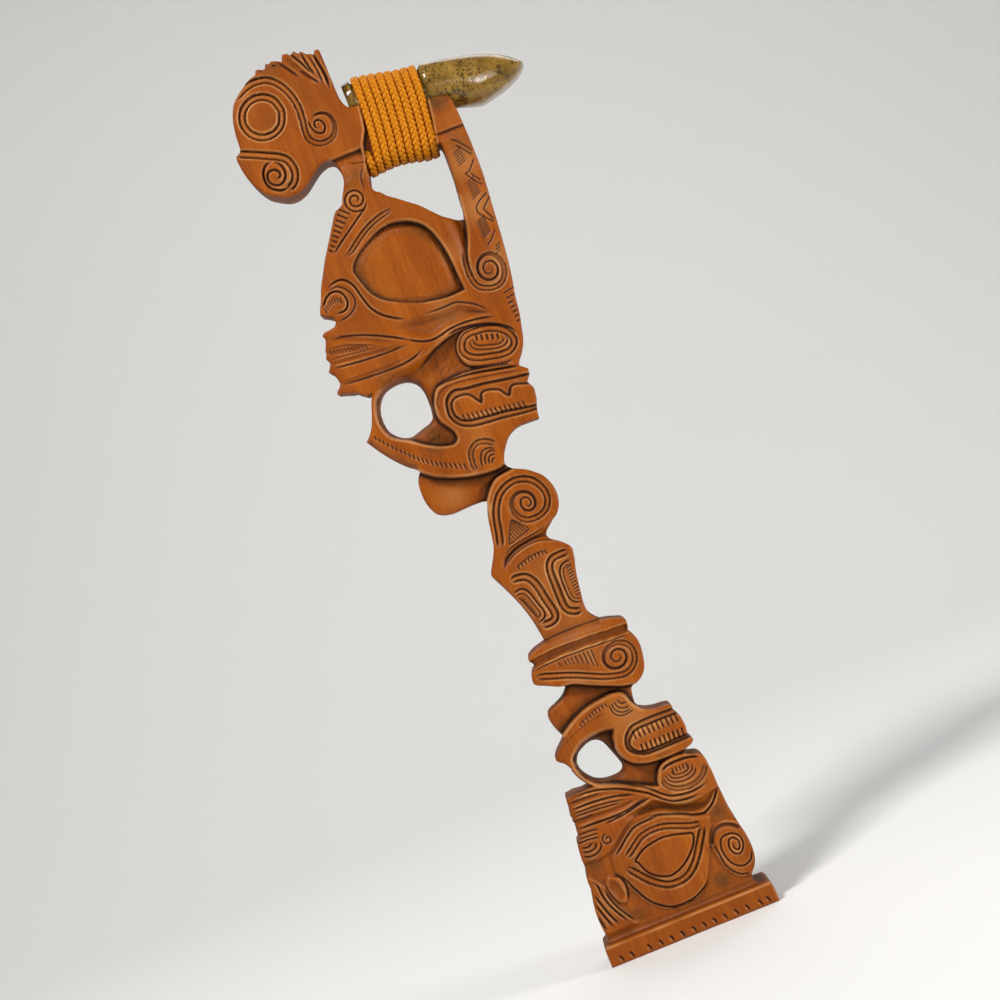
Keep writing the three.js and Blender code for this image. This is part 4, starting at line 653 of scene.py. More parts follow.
# arch over the lower hole
comb([(-16.2, 138), (-14.2, 139.2), (-11.7, 140.1), (-9.2, 141.1), (-7.2, 141.9), (-5.2, 142.5), (-3, 143),
      (-0.7, 143.4), (1.6, 143.6)], (0.3, -1.6), width=1.2, depth=1.0)
scores([(-17, 138), (-11, 140.8), (-5, 142.9), (2, 144)], [(-30, 129.6), (-24, 133.2), (-16, 136),
                                                           (-8, 138), (0, 138.6)],
       width=0.9, depth=0.4, dirt=0.4)
scores([(3.5, 142.8), (3.9, 138), (6, 135), (9, 133.7), (12, 133.8), (16, 134.5)],
       [(5.2, 142.9), (5.5, 139), (7.2, 136.6), (10, 135.3), (14.6, 135.6)],
       [(7, 143.2), (7.4, 140.2), (9.2, 138.2), (12, 137.3), (14.4, 137.6)],
       [(9, 143.7), (9.6, 141.6), (11, 140.4), (13.4, 140.2)], width=1.1, depth=0.9)

# lower mouth and its teeth
LOWER_MOUTH = closed(
    smooth((44, 127.2), (36, 127.2), (25, 127.6), (13, 127.2), (7.8, 124.8), (4.4, 120.8), (3.2, 116),
           (4.4, 112.2), (8, 109), (13, 107), (22, 106.5), (44, 107)))
TEETH = closed(smooth((44, 122.4), (25, 122.6), (14, 122.4), (9.6, 120.4), (7.2, 117.4), (7, 114.8),
                      (8.8, 112), (12, 110.4), (20, 109.8), (44, 110.2)))
moat(LOWER_MOUTH, TEETH, 3.2)
comb(row((10.5, 122.6), (37, 122.8), 10), (0.2, -4.2), width=1.5, depth=1.2)
comb(row((12, 109.6), (37.5, 109.8), 10), (0.2, 4.2), width=1.5, depth=1.2)

# base: beard, small oval and the ridge that runs into the S-hollow
for line, width, depth in (
    ([(-41, 96.6), (-30, 96.4), (-20, 95.6), (-12, 93.4), (-6, 91)], 4.6, 1.2),
    ([(-42, 85.6), (-30, 85.2), (-18, 84.6), (-8, 84.8), (-1, 86)], 5.0, 1.6),
):
    gouge(*line, width=width, depth=depth, taper=0.25, profile=soft_shape)
scores([(-41, 93.6), (-31, 93.5), (-22, 93), (-14, 91.8), (-6, 89.6), (-1, 87.6)],
       [(-42, 82), (-32, 81.5), (-20, 81), (-10, 81.3), (-3, 82.8),
        (4, 84.6)], width=2.0, depth=1.4, taper=0.2)
scores([(-41, 97.6), (-30, 97.4), (-20, 96.6)], [(-41, 91), (-30, 90.8), (-20, 90), (-12, 88.6), (-7, 87.4)],
       [(-41, 89.4), (-30, 88.9), (-20, 88), (-10, 86.8)], [(-42, 87), (-34, 86.8), (-28, 86.6)],
       [(-42, 78.7), (-34, 78.3), (-29, 77.5)], [(-42, 76), (-34, 75.7),
                                                 (-30, 75.4)], width=1.3, depth=0.8, taper=0.2)
scores([(-38.6, 100.2), (-30, 100), (-22, 99), (-15, 96.8), (-10, 94.9), (-5, 92.4), (0, 89.4), (5, 86.3),
        (9, 82.7), (12, 79.7), (16, 76.8), (20, 75.4), (28, 74.4), (35, 74.9)],
       [(-18, 100.9), (-10, 98.2), (-5, 95.8), (0, 92.8), (5, 89.8), (9, 86.4), (12, 83.4), (16, 80.4),
        (20, 78.8), (28, 77.6), (35, 78.1), (41, 79.8)],
       [(-25, 79), (-15, 79.6), (-8, 80.4), (-2, 82), (3, 83), (6, 83)], width=1.8, depth=1.5, taper=0.15)
gouge((-14, 77.6), (-6, 77.6), (0, 77.4), (5, 76.8), (10, 75.6), (15, 72.8), (20, 70.3), (26, 68.2),
      (32, 67.6), (37, 69.6), (42, 74), width=8.6, depth=3.8, taper=0.3, profile=soft_shape)
for x, z in ((1, 76.4), (4, 75.4), (8, 74.6), (12, 73), (15, 71), (19, 70), (22, 68.4), (26, 67.6),
             (30, 66.6), (33, 68)):
    score((x, z), (x + 3, z - 0.6), (x + 6, z - 0.2), width=1.3, depth=0.4, taper=0.4, dirt=0.2)
score((0, 73), (8, 71.5), (15, 69), (20, 67), (25, 64.5), (30, 63), (33, 63.4), (38, 66.4), (42, 71),
      (43.6, 75), width=2.0, depth=1.7)
scores([(-43.6, 73.8), (-37, 74), (-31, 73)], [(-43.6, 66), (-40, 64.4), (-35, 64.8), (-31.6, 67.4),
                                               (-30.8, 70.6)],
       [(-43, 68.4), (-39, 67.2), (-35, 68.2), (-33.6, 71)], [(-42.4, 70.6), (-38.6, 70),
                                                              (-36, 71.4)], width=1.4,
       depth=1.1)
groove(spiral((-26.6, 70), 3.4, 0.6, 1.3, 90), 1.5, 1.3, v_shape, 0.05)

# base: the ground is lowered round the eye, the spiral and the fan
BASE_GROUND = closed(
    [(-52, 17), (-52, 62), (-43, 62.6), (-36, 62), (-29, 63.4), (-24, 66.6), (-17, 72.4), (-12, 75.6)],
    smooth((-6, 78), (0, 80), (5, 82), (10, 80.5), (15, 76.5), (20, 73.5), (28, 72.5), (35, 73.5), (43, 75)),
    [(56, 76), (56, 17)])
EYE_ALMOND = closed(
    smooth((-28, 50), (-28.4, 54), (-27, 58.5), (-22, 62), (-17, 66), (-12, 69.5), (-8, 71), (0, 71.6),
           (8, 71), (14, 68.5), (20, 65), (26, 62), (32.5, 59.8)),
    smooth((32.5, 59.8), (31, 55), (28, 49), (25, 42), (21, 33), (17, 26), (11, 20.6), (5, 18.9),
           (-3, 18.7), (-8, 20), (-14, 24), (-19, 30), (-23, 38), (-26, 45), (-28, 50)))
SPIRAL_DISC = closed(smooth((29.5, 45), (31, 49), (35, 52.5), (39.5, 53.8), (44, 52.6), (50, 49), (56, 40),
                            (54, 25), (48, 20), (43, 20.8), (38, 22), (34, 26), (31.5, 31), (30, 38),
                            (29.5, 45)))
FAN = closed([(-56, 53), (-45, 52.6), (-42, 48.6), (-39, 45), (-38.5, 38), (-36, 31), (-32.5, 25),
              (-28.5, 18), (-30, 12), (-56, 12)])
LEAF = closed(smooth((-36.6, 46), (-34, 48.6), (-30, 46.8), (-28.4, 42), (-29, 36), (-31, 32.6), (-33.6, 35),
                     (-35.6, 40), (-36.6, 46)))
GROUND_REACH = 4
islands = [-depth_inside(island, GROUND_REACH) for island in (EYE_ALMOND, SPIRAL_DISC, FAN, LEAF)]
ground_inset = np.minimum.reduce([depth_inside(BASE_GROUND, GROUND_REACH), *islands])
deepen(1.8 * rise(ground_inset, -LIP, 2.1))

# base: the eye in its nested bands
scores([(-27, 58.5), (-22, 62), (-17, 66), (-12, 69.5), (-8, 71), (0, 71.6), (6, 71.4)],
       [(-28, 50), (-26, 45), (-23, 38), (-19, 30), (-14, 24), (-8, 20), (-3, 18.7), (5, 18.9), (11, 20.6),
        (16, 23.6), (20, 28)], width=1.9, depth=1.6, taper=0.15)
gouge((-20.6, 56), (-16.5, 58.4), (-12, 61.6), (-7.5, 64.2), (0, 65.4), (7.5, 64.4), (14.5, 61.8), (21, 59.3),
      (27.6, 58.2), width=4.0, depth=2.0)
score((-15, 50.6), (-16, 52.5), (-10, 56.5), (-5, 58), (3, 59), (10, 58), (16, 56.3), (20.6, 54.4), (19, 49),
      (15, 44.3), (10, 40.2), (5, 37.6), (0, 36.5), (-5, 37.9), (-10, 41), (-13, 45),
      (-15, 50.6), width=1.7, depth=1.5, taper=0)
gouge((-22.6, 50.6), (-18.2, 45), (-12.8, 38.6), (-7.4, 34.2), (-3, 32), (2, 31.4), (7, 32.2), (11.6, 34.6),
      (16.2, 39), (20.2, 44.4), (24.4, 51), (28, 56.6), width=4.6, depth=2.2)
scores([(-44.6, 51), (-43, 48.6), (-42, 46), (-41.5, 40), (-39.5, 33), (-36, 26), (-32.5, 20.5)],
       [(-46, 43), (-44.2, 36), (-42, 29), (-38.5, 21)], [(-47.4, 37), (-45.4, 30), (-42.4, 21)],
       [(-48.6, 30), (-46.8, 21)], [(-39, 44), (-38.5, 38), (-36, 31), (-32.5, 25),
                                    (-28.5, 19)], width=1.9, depth=1.5,
       taper=0.2)
score((-33, 49), (-28.4, 47), (-26.6, 43), (-27, 37), (-29, 32), width=1.6, depth=1.2, taper=0.2)
gouge((-34.6, 47), (-33.4, 43), (-32, 38), (-30.4, 33), width=6, depth=1.8, taper=0.35, profile=hollow_shape)

# base: the oval at its upper right
score((17, 95), (22, 97), (30, 97.3), (36, 96.5), (41, 94.6), width=2.2, depth=1.6)
scores([(22.5, 93.4), (23.5, 90.6), (28, 89.5), (32, 90.3), (33.5, 93)],
       [(20.5, 93.2), (21.5, 89.5), (25, 87.8), (30, 87.6), (34, 89), (35.5, 92.5)],
       [(18.5, 92.8), (19.5, 88.5), (23, 86), (29, 85.1), (34.5, 86.5), (37, 90.5)], width=1.1, depth=0.9)
gouge((15.8, 90.6), (17, 86.6), (21, 82.9), (27, 81.2), (34, 81.6), (39.6, 84.8),
      (42.4, 89.4), width=3.2, depth=1.8)
comb(row((23.6, 93.8), (32.4, 93.8), 5), (0, -2.2), width=1.2, depth=1.0)

# base: spiral at its right
gouge((29, 43.6), (30, 47), (32.6, 50.6), (36, 52.4), (40, 52.4), (44, 50.6),
      (47.6, 47), width=2.8, depth=1.8)
scores([(29.8, 44), (30.5, 38), (31.5, 31), (34, 26), (38, 22), (43, 20.8)],
       [(49, 33), (47, 28.5), (43, 26.2), (39, 26.8), (35.5, 30), (33.5, 35), (33, 40), (34.5, 45),
        (38, 46.5), (42, 46), (45.5, 43), (45.8, 38), (43.5, 34.3), (41, 33.6), (38.5, 35.5), (37.5, 39),
        (38.8, 43), (41.5, 43.6), (43.8, 41), (43.5, 37.5), (41.8, 36), (40, 38),
        (40.3, 41)], width=1.5, depth=1.3, taper=0.05)

# plinth: notches along its lower edge
for x in (-45, -38.5, -27.5, -20.3, -13.5, -6.8, 0.5, 7, 13.5, 20, 27, 34, 42, 47):
    score((x - 1.3, 5.2), (x, 4.2), (x + 0.7, 2.6), (x + 0.7, 0.8), width=2.0, depth=1.2, taper=0.3, dirt=0.8)

# crossbar: thinned under the lashing, with a step down under the head and under the end block
CROSSBAR_HALF = 12.0
LASHED = closed([(0, 545), (-0.6, 521.6), (-1.6, 514), (-3, 507), (-7, 500), (-9, 492), (-10.6, 484), (-10.8, 477),
                 (32.4, 477), (33.2, 484), (36.2, 498), (38, 512), (38.4, 545)])
sink(LASHED, FACE - CROSSBAR_HALF, wall=0.9)
for left, right, top, depth, run in ((-32, -8.6, 498.4, 3.6, 17), (33, 56, 489.6, 2.6, 7)):
    below = (1 - rise(ALONG_Z, top - 1.4, top)) * passed(ALONG_Z, top - run, top)
    beside = rise(ALONG_X, left, left + 1.5) * (1 - rise(ALONG_X, right - 1.5, right))
    level += np.where(level < HOLLOW - 2, depth * below * beside, 0)

# the plinth stands proud of the plank, over a cove
PROUD = 4.0
COVE_MIDDLE, COVE_HALF, COVE_DEPTH = 16.2, 3.2, 1.6
level -= PROUD * (1 - rise(ALONG_Z, PLINTH_TOP - 2, PLINTH_TOP + 0.4))
level += COVE_DEPTH * ease(1 - np.abs(ALONG_Z - COVE_MIDDLE) / COVE_HALF)

# wear lines under the head, and the bevel at the top of the end block
scores([(-18.6, 492.2), (-14, 490.6), (-9, 489.2)], [(-11.4, 487.4), (-14, 484.6), (-15.6, 480), (-16, 474)],
       width=1.6, depth=0.9, taper=0.2, dirt=0.45)
level += 1.2 * rise(ALONG_Z, 500, 510) * rise(ALONG_X, 38, 39.5)

# From the relief to the shape of the haft's faces

EDGE_REACH = 8  # how far from the edges the inset is worked out
EDGE_ROUND, DEEP_EDGE_ROUND = 1.5, 1.2  # radius of the edges, and how much more where the ground lies deep
GROUND_SOFTNESS, CUT_SOFTNESS = 0.3, 0.24  # so that no cut is sharper than the grid


def blurred(field, radius):
    """The field averaged with a bell of that radius in mm."""
    reach = max(1, int(3 * radius / STEP))
    bell = np.exp(-0.5 * (STEP * np.arange(-reach, reach + 1) / radius) ** 2)
    bell /= bell.sum()
    for axis in (0, 1):
        wide = np.pad(field, [(reach, reach) if a == axis else (0, 0) for a in (0, 1)], mode="edge")
        field = sum(
            weight * np.take(wide, np.arange(i, i + field.shape[axis]), axis=axis) for i, weight in enumerate(bell)
        )
    return field


def hand_of_the_carver():
    """Slight unevenness of hand-cut faces, from waves with a pace along X and along Z, a size and a phase."""
    waves = ((0.16, 0.011, 0.13, 0.6), (-0.09, 0.13, 0.11, 2.1), (0.31, 0.07, 0.06, 4.0), (0.05, -0.29, 0.06, 1.2),
             (0.47, 0.38, 0.035, 5.1), (-0.52, 0.31, 0.035, 3.3))
    return sum(size * np.sin(a * ALONG_X + b * ALONG_Z + phase) for a, b, size, phase in waves)


def rounding(inset_by, radius):
    """How far a rounded edge lies behind its face."""
    from_edge = np.clip(inset_by, 0, radius)
    return radius - np.sqrt(np.maximum(radius**2 - (radius - from_edge) ** 2, 0))


HOLES = (UPPER_HOLE, LOWER_HOLE, BRACE_GAP)
upper_inset, lower_inset, brace_inset = (depth_inside(hole, EDGE_REACH) for hole in HOLES)
inset = np.minimum.reduce([depth_inside(OUTLINE, EDGE_REACH), -upper_inset, -lower_inset, -brace_inset])
soft_level = blurred(level, GROUND_SOFTNESS)
relief = soft_level + blurred(cut, CUT_SOFTNESS) + hand_of_the_carver()
edge_radius = EDGE_ROUND + DEEP_EDGE_ROUND * rise(level, 4, 7)

# What the wood material reads: stain and painted shade in the cuts, pale ridges from wear and a painted highlight,
# painted shade and dullness on the sunk ground, and painted light in paler places

MOST_GROUND = 1.8
# round patches as x, z, radius and share: first where the wood is drawn darker, smoke-darkened wood on the crest
# and the end block, and painted shade in the deep pockets, the hollows and the base's sunk ground; then where it
# is drawn paler, which is painted light
DARKENED = (
    (-46, 367, 10, 1.2), (-42, 560, 11, 1.1), (44, 512, 17, 3.2), (-20, 484, 12, 1.1), (-58, 492, 9, 0.6),
    (47, 478, 12, 1.1), (-32, 324, 13, 1.7), (-20, 452, 10, 1.1), (-24, 560, 9, 0.7), (-16, 364, 8, 0.5),
    (22, 102, 8, 0.8), (-27, 23, 9, 1.4), (27, 23, 9, 1.6), (38, 61, 9, 1.5), (-38, 58, 9, 1.3), (-25, 36, 6, 1.2),
    (24, 70, 13, 1.3), (6, 76, 8, 0.9))
PAINTED_LIGHT_PATCHES = (
    (44, 468, 17, 1.4), (42, 440, 17, 1.4), (0, 222, 26, 0.6), (-35, 290, 14, 0.9), (14, 132, 24, 1.1),
    (0, 186, 28, 0.5), (-10, 318, 15, 0.5), (30, 84, 16, 0.7), (2, 392, 16, 0.8), (46, 494, 9, 0.4),
    (17, 420, 12, 0.7), (44, 410, 14, 0.7))


def patched(field, patches):
    """The field with soft round patches added."""
    for x, z, radius, share in patches:
        away = np.hypot(ALONG_X - x, ALONG_Z - z) / radius
        field = np.maximum(field, share * (1 - ease(away)))
    return field


# Painted shade: a dark line at the foot of each wall and a darkening in each recess, joined with the stain in the
# cuts.
foot_share = passed(soft_level - blurred(level, 0.8), 0.08, 0.38)
soft_share = 0.5 * passed(relief - blurred(relief, 1.6), 0, 1.1)
stain_and_shade_share = np.minimum(np.maximum.reduce([soft_share, foot_share, 1.25 * blurred(cut_stain_and_shade, 0.22)]), 1)
# Pale ridges and bead crests: wear, and a painted highlight along them.
ridge_share = np.maximum(passed(blurred(relief, 0.7) - relief, 0.1, 0.4), 0.8 * wear_and_highlight)
# Painted shade on the sunk ground and on the great eye's sloping band, darker still in the darker patches.
sunk_share = passed(relief - blurred(relief, 5), 0, 3.2) * (blurred(level, 1) > 1)
eye_slope = (1 - across**3) * (eye_inset > 0)
ground_share = np.minimum(np.maximum(patched(sunk_share, DARKENED), 1.1 * eye_slope), MOST_GROUND)
# Painted light: the paler patches.
painted_light_share = patched(np.zeros((ROWS, COLUMNS)), PAINTED_LIGHT_PATCHES)

# Meshes


def new_mesh(name, points, quads, triangles=None):
    """A smooth-shaded mesh from arrays of points in millimetres and faces."""
    triangles = np.zeros((0, 3), int) if triangles is None else triangles
    mesh = bpy.data.meshes.new(name)
    mesh.vertices.add(len(points))
    mesh.vertices.foreach_set("co", np.asarray(points * MM, np.float32).ravel())
    loops = np.concatenate([quads.ravel(), triangles.ravel()]).astype(np.int32)
    sizes = np.concatenate([np.full(len(quads), 4), np.full(len(triangles), 3)])
    starts = np.concatenate([[0], np.cumsum(sizes)[:-1]]).astype(np.int32)
    mesh.loops.add(len(loops))
    mesh.loops.foreach_set("vertex_index", loops)
    mesh.polygons.add(len(sizes))
    mesh.polygons.foreach_set("loop_start", starts)
    mesh.update(calc_edges=True)
    mesh.polygons.foreach_set("use_smooth", np.ones(len(sizes), bool))
    mesh.validate()
    mesh.update()
    return mesh


def add_attribute(mesh, name, values):
    """Gives each point a value that the material can read."""
    layer = mesh.attributes.new(name, "FLOAT", "POINT")
    layer.data.foreach_set("value", np.ravel(values).astype(np.float32))


def placed(name, mesh, material):
    """An object in the scene with that mesh and material."""
    piece = bpy.data.objects.new(name, mesh)
    bpy.context.scene.collection.objects.link(piece)
    mesh.materials.append(material)
    return piece


def ring_quads(first, rings, sides):
    """Faces between rings of points, the first of which has that number."""
    ids = first + np.arange(rings * sides).reshape(rings, sides)
    ahead = np.roll(ids, -1, 1)
    return np.stack([ids[:-1], ids[1:], ahead[1:], ahead[:-1]], -1).reshape(-1, 4)


def unit(vectors):
    """Each row's direction."""
    return vectors / np.linalg.norm(vectors, axis=1, keepdims=True)


# Materials


def new_material(name):
    """A material with its node tree and shader."""
    material = bpy.data.materials.new(name)
    material.use_nodes = True
    tree = material.node_tree
    return material, tree, tree.nodes["Principled BSDF"]


def node(tree, kind, **settings):
    made = tree.nodes.new(kind)
    for key, value in settings.items():
        setattr(made, key, value)
    return made


def stretched_noise(tree, scale, detail, roughness=0.55):
    """Noise over the object's own place in metres, with its own scale along X, Y and Z."""
    place = node(tree, "ShaderNodeTexCoord")
    mapping = node(tree, "ShaderNodeMapping")
    mapping.inputs["Scale"].default_value = scale
    noise = node(tree, "ShaderNodeTexNoise")
    for key, number in (("Scale", 1), ("Detail", detail), ("Roughness", roughness)):
        noise.inputs[key].default_value = number
    tree.links.new(place.outputs["Object"], mapping.inputs["Vector"])
    tree.links.new(mapping.outputs["Vector"], noise.inputs["Vector"])
    return noise.outputs["Fac"]


def ramp(tree, value, *stops):
    """A colour ramp through (place, colour) stops."""
    made = node(tree, "ShaderNodeValToRGB")
    elements = made.color_ramp.elements
    while len(elements) < len(stops):
        elements.new(0.5)
    for element, (place, colour) in zip(elements, stops):
        element.position = place
        element.color = (*colour, 1)
    tree.links.new(value, made.inputs["Fac"])
    return made.outputs["Color"]


def span_of(tree, value, low, high, out_low, out_high):
    """The value, taken from low to high, carried over to the span from out_low to out_high."""
    made = node(tree, "ShaderNodeMapRange")
    for key, number in (("From Min", low), ("From Max", high), ("To Min", out_low), ("To Max", out_high)):
        made.inputs[key].default_value = number
    tree.links.new(value, made.inputs["Value"])
    return made.outputs["Result"]


def mixed(tree, share, first, second):
    """The first colour with a share of the second, a plain colour, laid over it."""
    made = node(tree, "ShaderNodeMix", data_type="RGBA")
    tree.links.new(share, made.inputs[0])
    tree.links.new(first, made.inputs[6])
    made.inputs[7].default_value = (*second, 1)
    return made.outputs[2]


def calculate(tree, operation, *values):
    """A sum on numbers and outputs of nodes."""
    made = node(tree, "ShaderNodeMath", operation=operation)
    for slot, value in zip(made.inputs, values):
        if isinstance(value, bpy.types.NodeSocket):
            tree.links.new(value, slot)
        else:
            slot.default_value = value
    return made.outputs[0]


def weighted(tree, *terms):
    """The sum of values, each times its weight."""
    total = 0.0
    for value, weight in terms:
        total = calculate(tree, "MULTIPLY_ADD", value, weight, total)
    return total


def attribute(tree, name):
    return node(tree, "ShaderNodeAttribute", attribute_name=name).outputs["Fac"]


def add_bump(tree, shader, height, distance):
    bump = node(tree, "ShaderNodeBump")
    bump.inputs["Strength"].default_value = 1
    bump.inputs["Distance"].default_value = distance
    tree.links.new(height, bump.inputs["Height"])
    tree.links.new(bump.outputs["Normal"], shader.inputs["Normal"])


# The haft

LEAST_THICKNESS = 3.0  # that the carving leaves between the two faces
WALL_ROWS = 10  # rows of points between the faces
WAIST = 1.7  # how far the walls of the two round holes are drawn in halfway through
RIPPLE, RIPPLE_PACE = 0.12, np.array([0.2, 0.9, 0.35])  # the walls' unevenness and its pace along X, Y and Z
# Painted shade on the walls: their share of the cuts' stain and shade, and of the sunk ground's darkening.
WALL_SHADE, WALL_GROUND = 0.3, 0.9


def carved_body(name):
    """The haft as one mesh: the relief on both faces and walls between them."""
    # the grid points beside an edge move onto it
    kept = inset > -STEP / 2
    snapped = kept & (inset <= STEP / 2)
    slope_z, slope_x = np.gradient(inset, STEP)
    length = np.maximum(np.hypot(slope_x, slope_z), 1e-6)
    away_x, away_z = -slope_x / length, -slope_z / length
    moved = np.where(snapped, inset, 0)
    x, z = ALONG_X + moved * away_x, ALONG_Z + moved * away_z
    deep = np.minimum(relief + rounding(inset - moved, edge_radius), FACE - LEAST_THICKNESS / 2)

    # one face: squares of the grid, and triangles where a corner is left out
    ids = np.arange(ROWS * COLUMNS).reshape(ROWS, COLUMNS)
    corners = np.stack([ids[:-1, :-1], ids[:-1, 1:], ids[1:, 1:], ids[1:, :-1]], -1).reshape(-1, 4)
    usable = (kept & ~snapped).ravel()[corners].any(1)
    count = kept.ravel()[corners].sum(1)
    quads = corners[usable & (count == 4)]
    three = corners[usable & (count == 3)]
    triangles = three[kept.ravel()[three]].reshape(-1, 3)
    used, inverse = np.unique(np.concatenate([quads.ravel(), triangles.ravel()]), return_inverse=True)
    quads, triangles = inverse[: quads.size].reshape(-1, 4), inverse[quads.size :].reshape(-1, 3)

    def at_used(field):
        return field.ravel()[used]

    px, pz, pd = at_used(x), at_used(z), at_used(deep)
    total = len(used)
    front = np.stack([px, -FACE + pd, pz], 1)
    back = np.stack([px, FACE - pd, pz], 1)

    # edges that only one square or triangle uses bound the face, and keep its direction
    starts = np.concatenate([quads.ravel(), triangles.ravel()])
    ends = np.concatenate([np.roll(quads, -1, 1).ravel(), np.roll(triangles, -1, 1).ravel()])
    rim = ~np.isin(starts * total + ends, ends * total + starts)
    rim_points, place = np.unique(np.concatenate([starts[rim], ends[rim]]), return_inverse=True)
    wall_start, wall_end = place[: rim.sum()], place[rim.sum() :]

    # walls from the front's rim to the back's
    waist = WAIST * at_used(rise(np.maximum(upper_inset, lower_inset), -3, -1))[rim_points]
    out = np.stack([at_used(away_x), 0 * px, at_used(away_z)], 1)[rim_points]
    rows = []
    for share in np.linspace(0, 1, WALL_ROWS + 2)[1:-1]:
        point = front[rim_points] * (1 - share) + back[rim_points] * share
        drawn_in = (waist + RIPPLE * np.sin(point @ RIPPLE_PACE)) * math.sin(math.pi * share)
        rows.append(point + out * drawn_in[:, None])
    wall_count = len(rim_points) * WALL_ROWS
    wall_ids = 2 * total + np.arange(wall_count).reshape(WALL_ROWS, -1)
    ring_ids = [rim_points, *wall_ids, total + rim_points]
    walls = [
        np.stack([upper[wall_end], upper[wall_start], lower[wall_start], lower[wall_end]], 1)
        for upper, lower in zip(ring_ids, ring_ids[1:])
    ]

    mesh = new_mesh(name, np.vstack([front, back, *rows]), np.vstack([quads, quads[:, ::-1] + total, *walls]),
                    np.vstack([triangles, triangles[:, ::-1] + total]))
    for attribute_name, field, on_wall in (("hollow", stain_and_shade_share, WALL_SHADE), ("ridge", ridge_share, 0),
                                           ("ground", ground_share, WALL_GROUND), ("painted_light", painted_light_share, 0)):
        value = at_used(field)
        add_attribute(mesh, attribute_name, np.concatenate([value, value, np.full(wall_count, on_wall)]))
    return mesh


def wood_material():
    """Oiled hardwood: grain, dark stain and painted shade in the cuts and hollows, pale ridges from wear and a
    painted highlight, painted light in patches.
    """
    material, tree, shader = new_material("carved_wood")
    fibres = stretched_noise(tree, (900, 900, 45), 5)
    bands = stretched_noise(tree, (70, 70, 6), 3)
    blotches = stretched_noise(tree, (40, 40, 28), 4)
    pores = stretched_noise(tree, (2600, 2600, 260), 2)
    facets = stretched_noise(tree, (330, 330, 330), 1)
    stain_and_shade, sunk = attribute(tree, "hollow"), attribute(tree, "ground")
    colour = ramp(tree, weighted(tree, (fibres, 0.45), (bands, 0.55)),
                  (0.27, (0.17, 0.034, 0.001)), (0.5, (0.285, 0.063, 0.001)), (0.73, (0.40, 0.108, 0.005)))
    colour = mixed(tree, span_of(tree, blotches, 0.45, 0.75, 0, 0.45), colour, (0.17, 0.036, 0.001))
    # each layer's attribute, the span of blotches that it follows, its strength at both ends, and its colour
    # in turn: painted light in the paler patches, painted shade on the sunk ground, stain and painted shade in the
    # cuts, and wear with a painted highlight on the ridges
    for source, low, high, at_low, at_high, tint in (
        (attribute(tree, "painted_light"), 0.3, 0.7, 0.35, 0.65, (0.42, 0.160, 0.040)),
        (sunk, 0.35, 0.65, 0.15, 0.65, (0.090, 0.036, 0.005)),
        (stain_and_shade, 0.3, 0.7, 0.98, 0.85, (0.009, 0.002, 0.0005)),
        (attribute(tree, "ridge"), 0.35, 0.65, 0.15, 0.7, (0.64, 0.30, 0.10)),
    ):
        strength = calculate(tree, "MULTIPLY", source, span_of(tree, blotches, low, high, at_low, at_high))
        colour = mixed(tree, strength, colour, tint)
    tree.links.new(colour, shader.inputs["Base Color"])
    gloss = span_of(tree, blotches, 0.3, 0.7, 0.30, 0.46)
    tree.links.new(weighted(tree, (gloss, 1), (stain_and_shade, 0.18), (sunk, 0.18)), shader.inputs["Roughness"])
    shader.inputs["Specular IOR Level"].default_value = 0.2
    tool_cuts = calculate(tree, "MULTIPLY", facets, sunk)
    add_bump(tree, shader, weighted(tree, (fibres, 1), (pores, 0.5), (tool_cuts, 7)), 0.00016)
    return material


haft = placed("haft_carved", carved_body("haft_carved"), wood_material())
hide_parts("haft")
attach(haft, "root")

# The blade, with its sections along X as x, underside, top and half width

BLADE_SECTIONS = np.array([
    (-6.3, 516.4, 538.2, 9.6), (-4, 514.4, 539.1, 10.4), (-1.4, 513.7, 540, 10.8), (-0.9, 513.5, 537.5, 10.8),
    (13, 510.3, 534.9, 10.8), (26, 507.2, 531.8, 10.8), (38.4, 504.2, 530.2, 10.8), (41.4, 503.6, 533.2, 11.6),
    (50.7, 501.4, 531.7, 13), (57.8, 499.2, 530.2, 14), (62.9, 497.8, 529.1, 14.8), (67.9, 496.9, 527.8, 15.5),
    (74, 498.2, 526.1, 16.2), (81.1, 499.9, 523.5, 16.9), (87.1, 501.8, 520.4, 17.3), (92.2, 503.9, 517, 17.5),
    (95.8, 506.2, 513.6, 17.4), (97.9, 508.6, 511.5, 17.2), (98.4, 509.7, 510.6, 17)])
BLADE_SIDES = 72
RINGS_PER_SECTION = 5
# powers of the section's curve: its top, and its underside before the bevel and on it
TOP_POWER, ROUND_POWER, FLAT_POWER = 2.0, 2.4, 4.2
BEVEL_RUN = (53, 75)
TIP_RUN, TIP_BOW = (81, 98.4), 3.0  # the cutting edge is bowed by this much


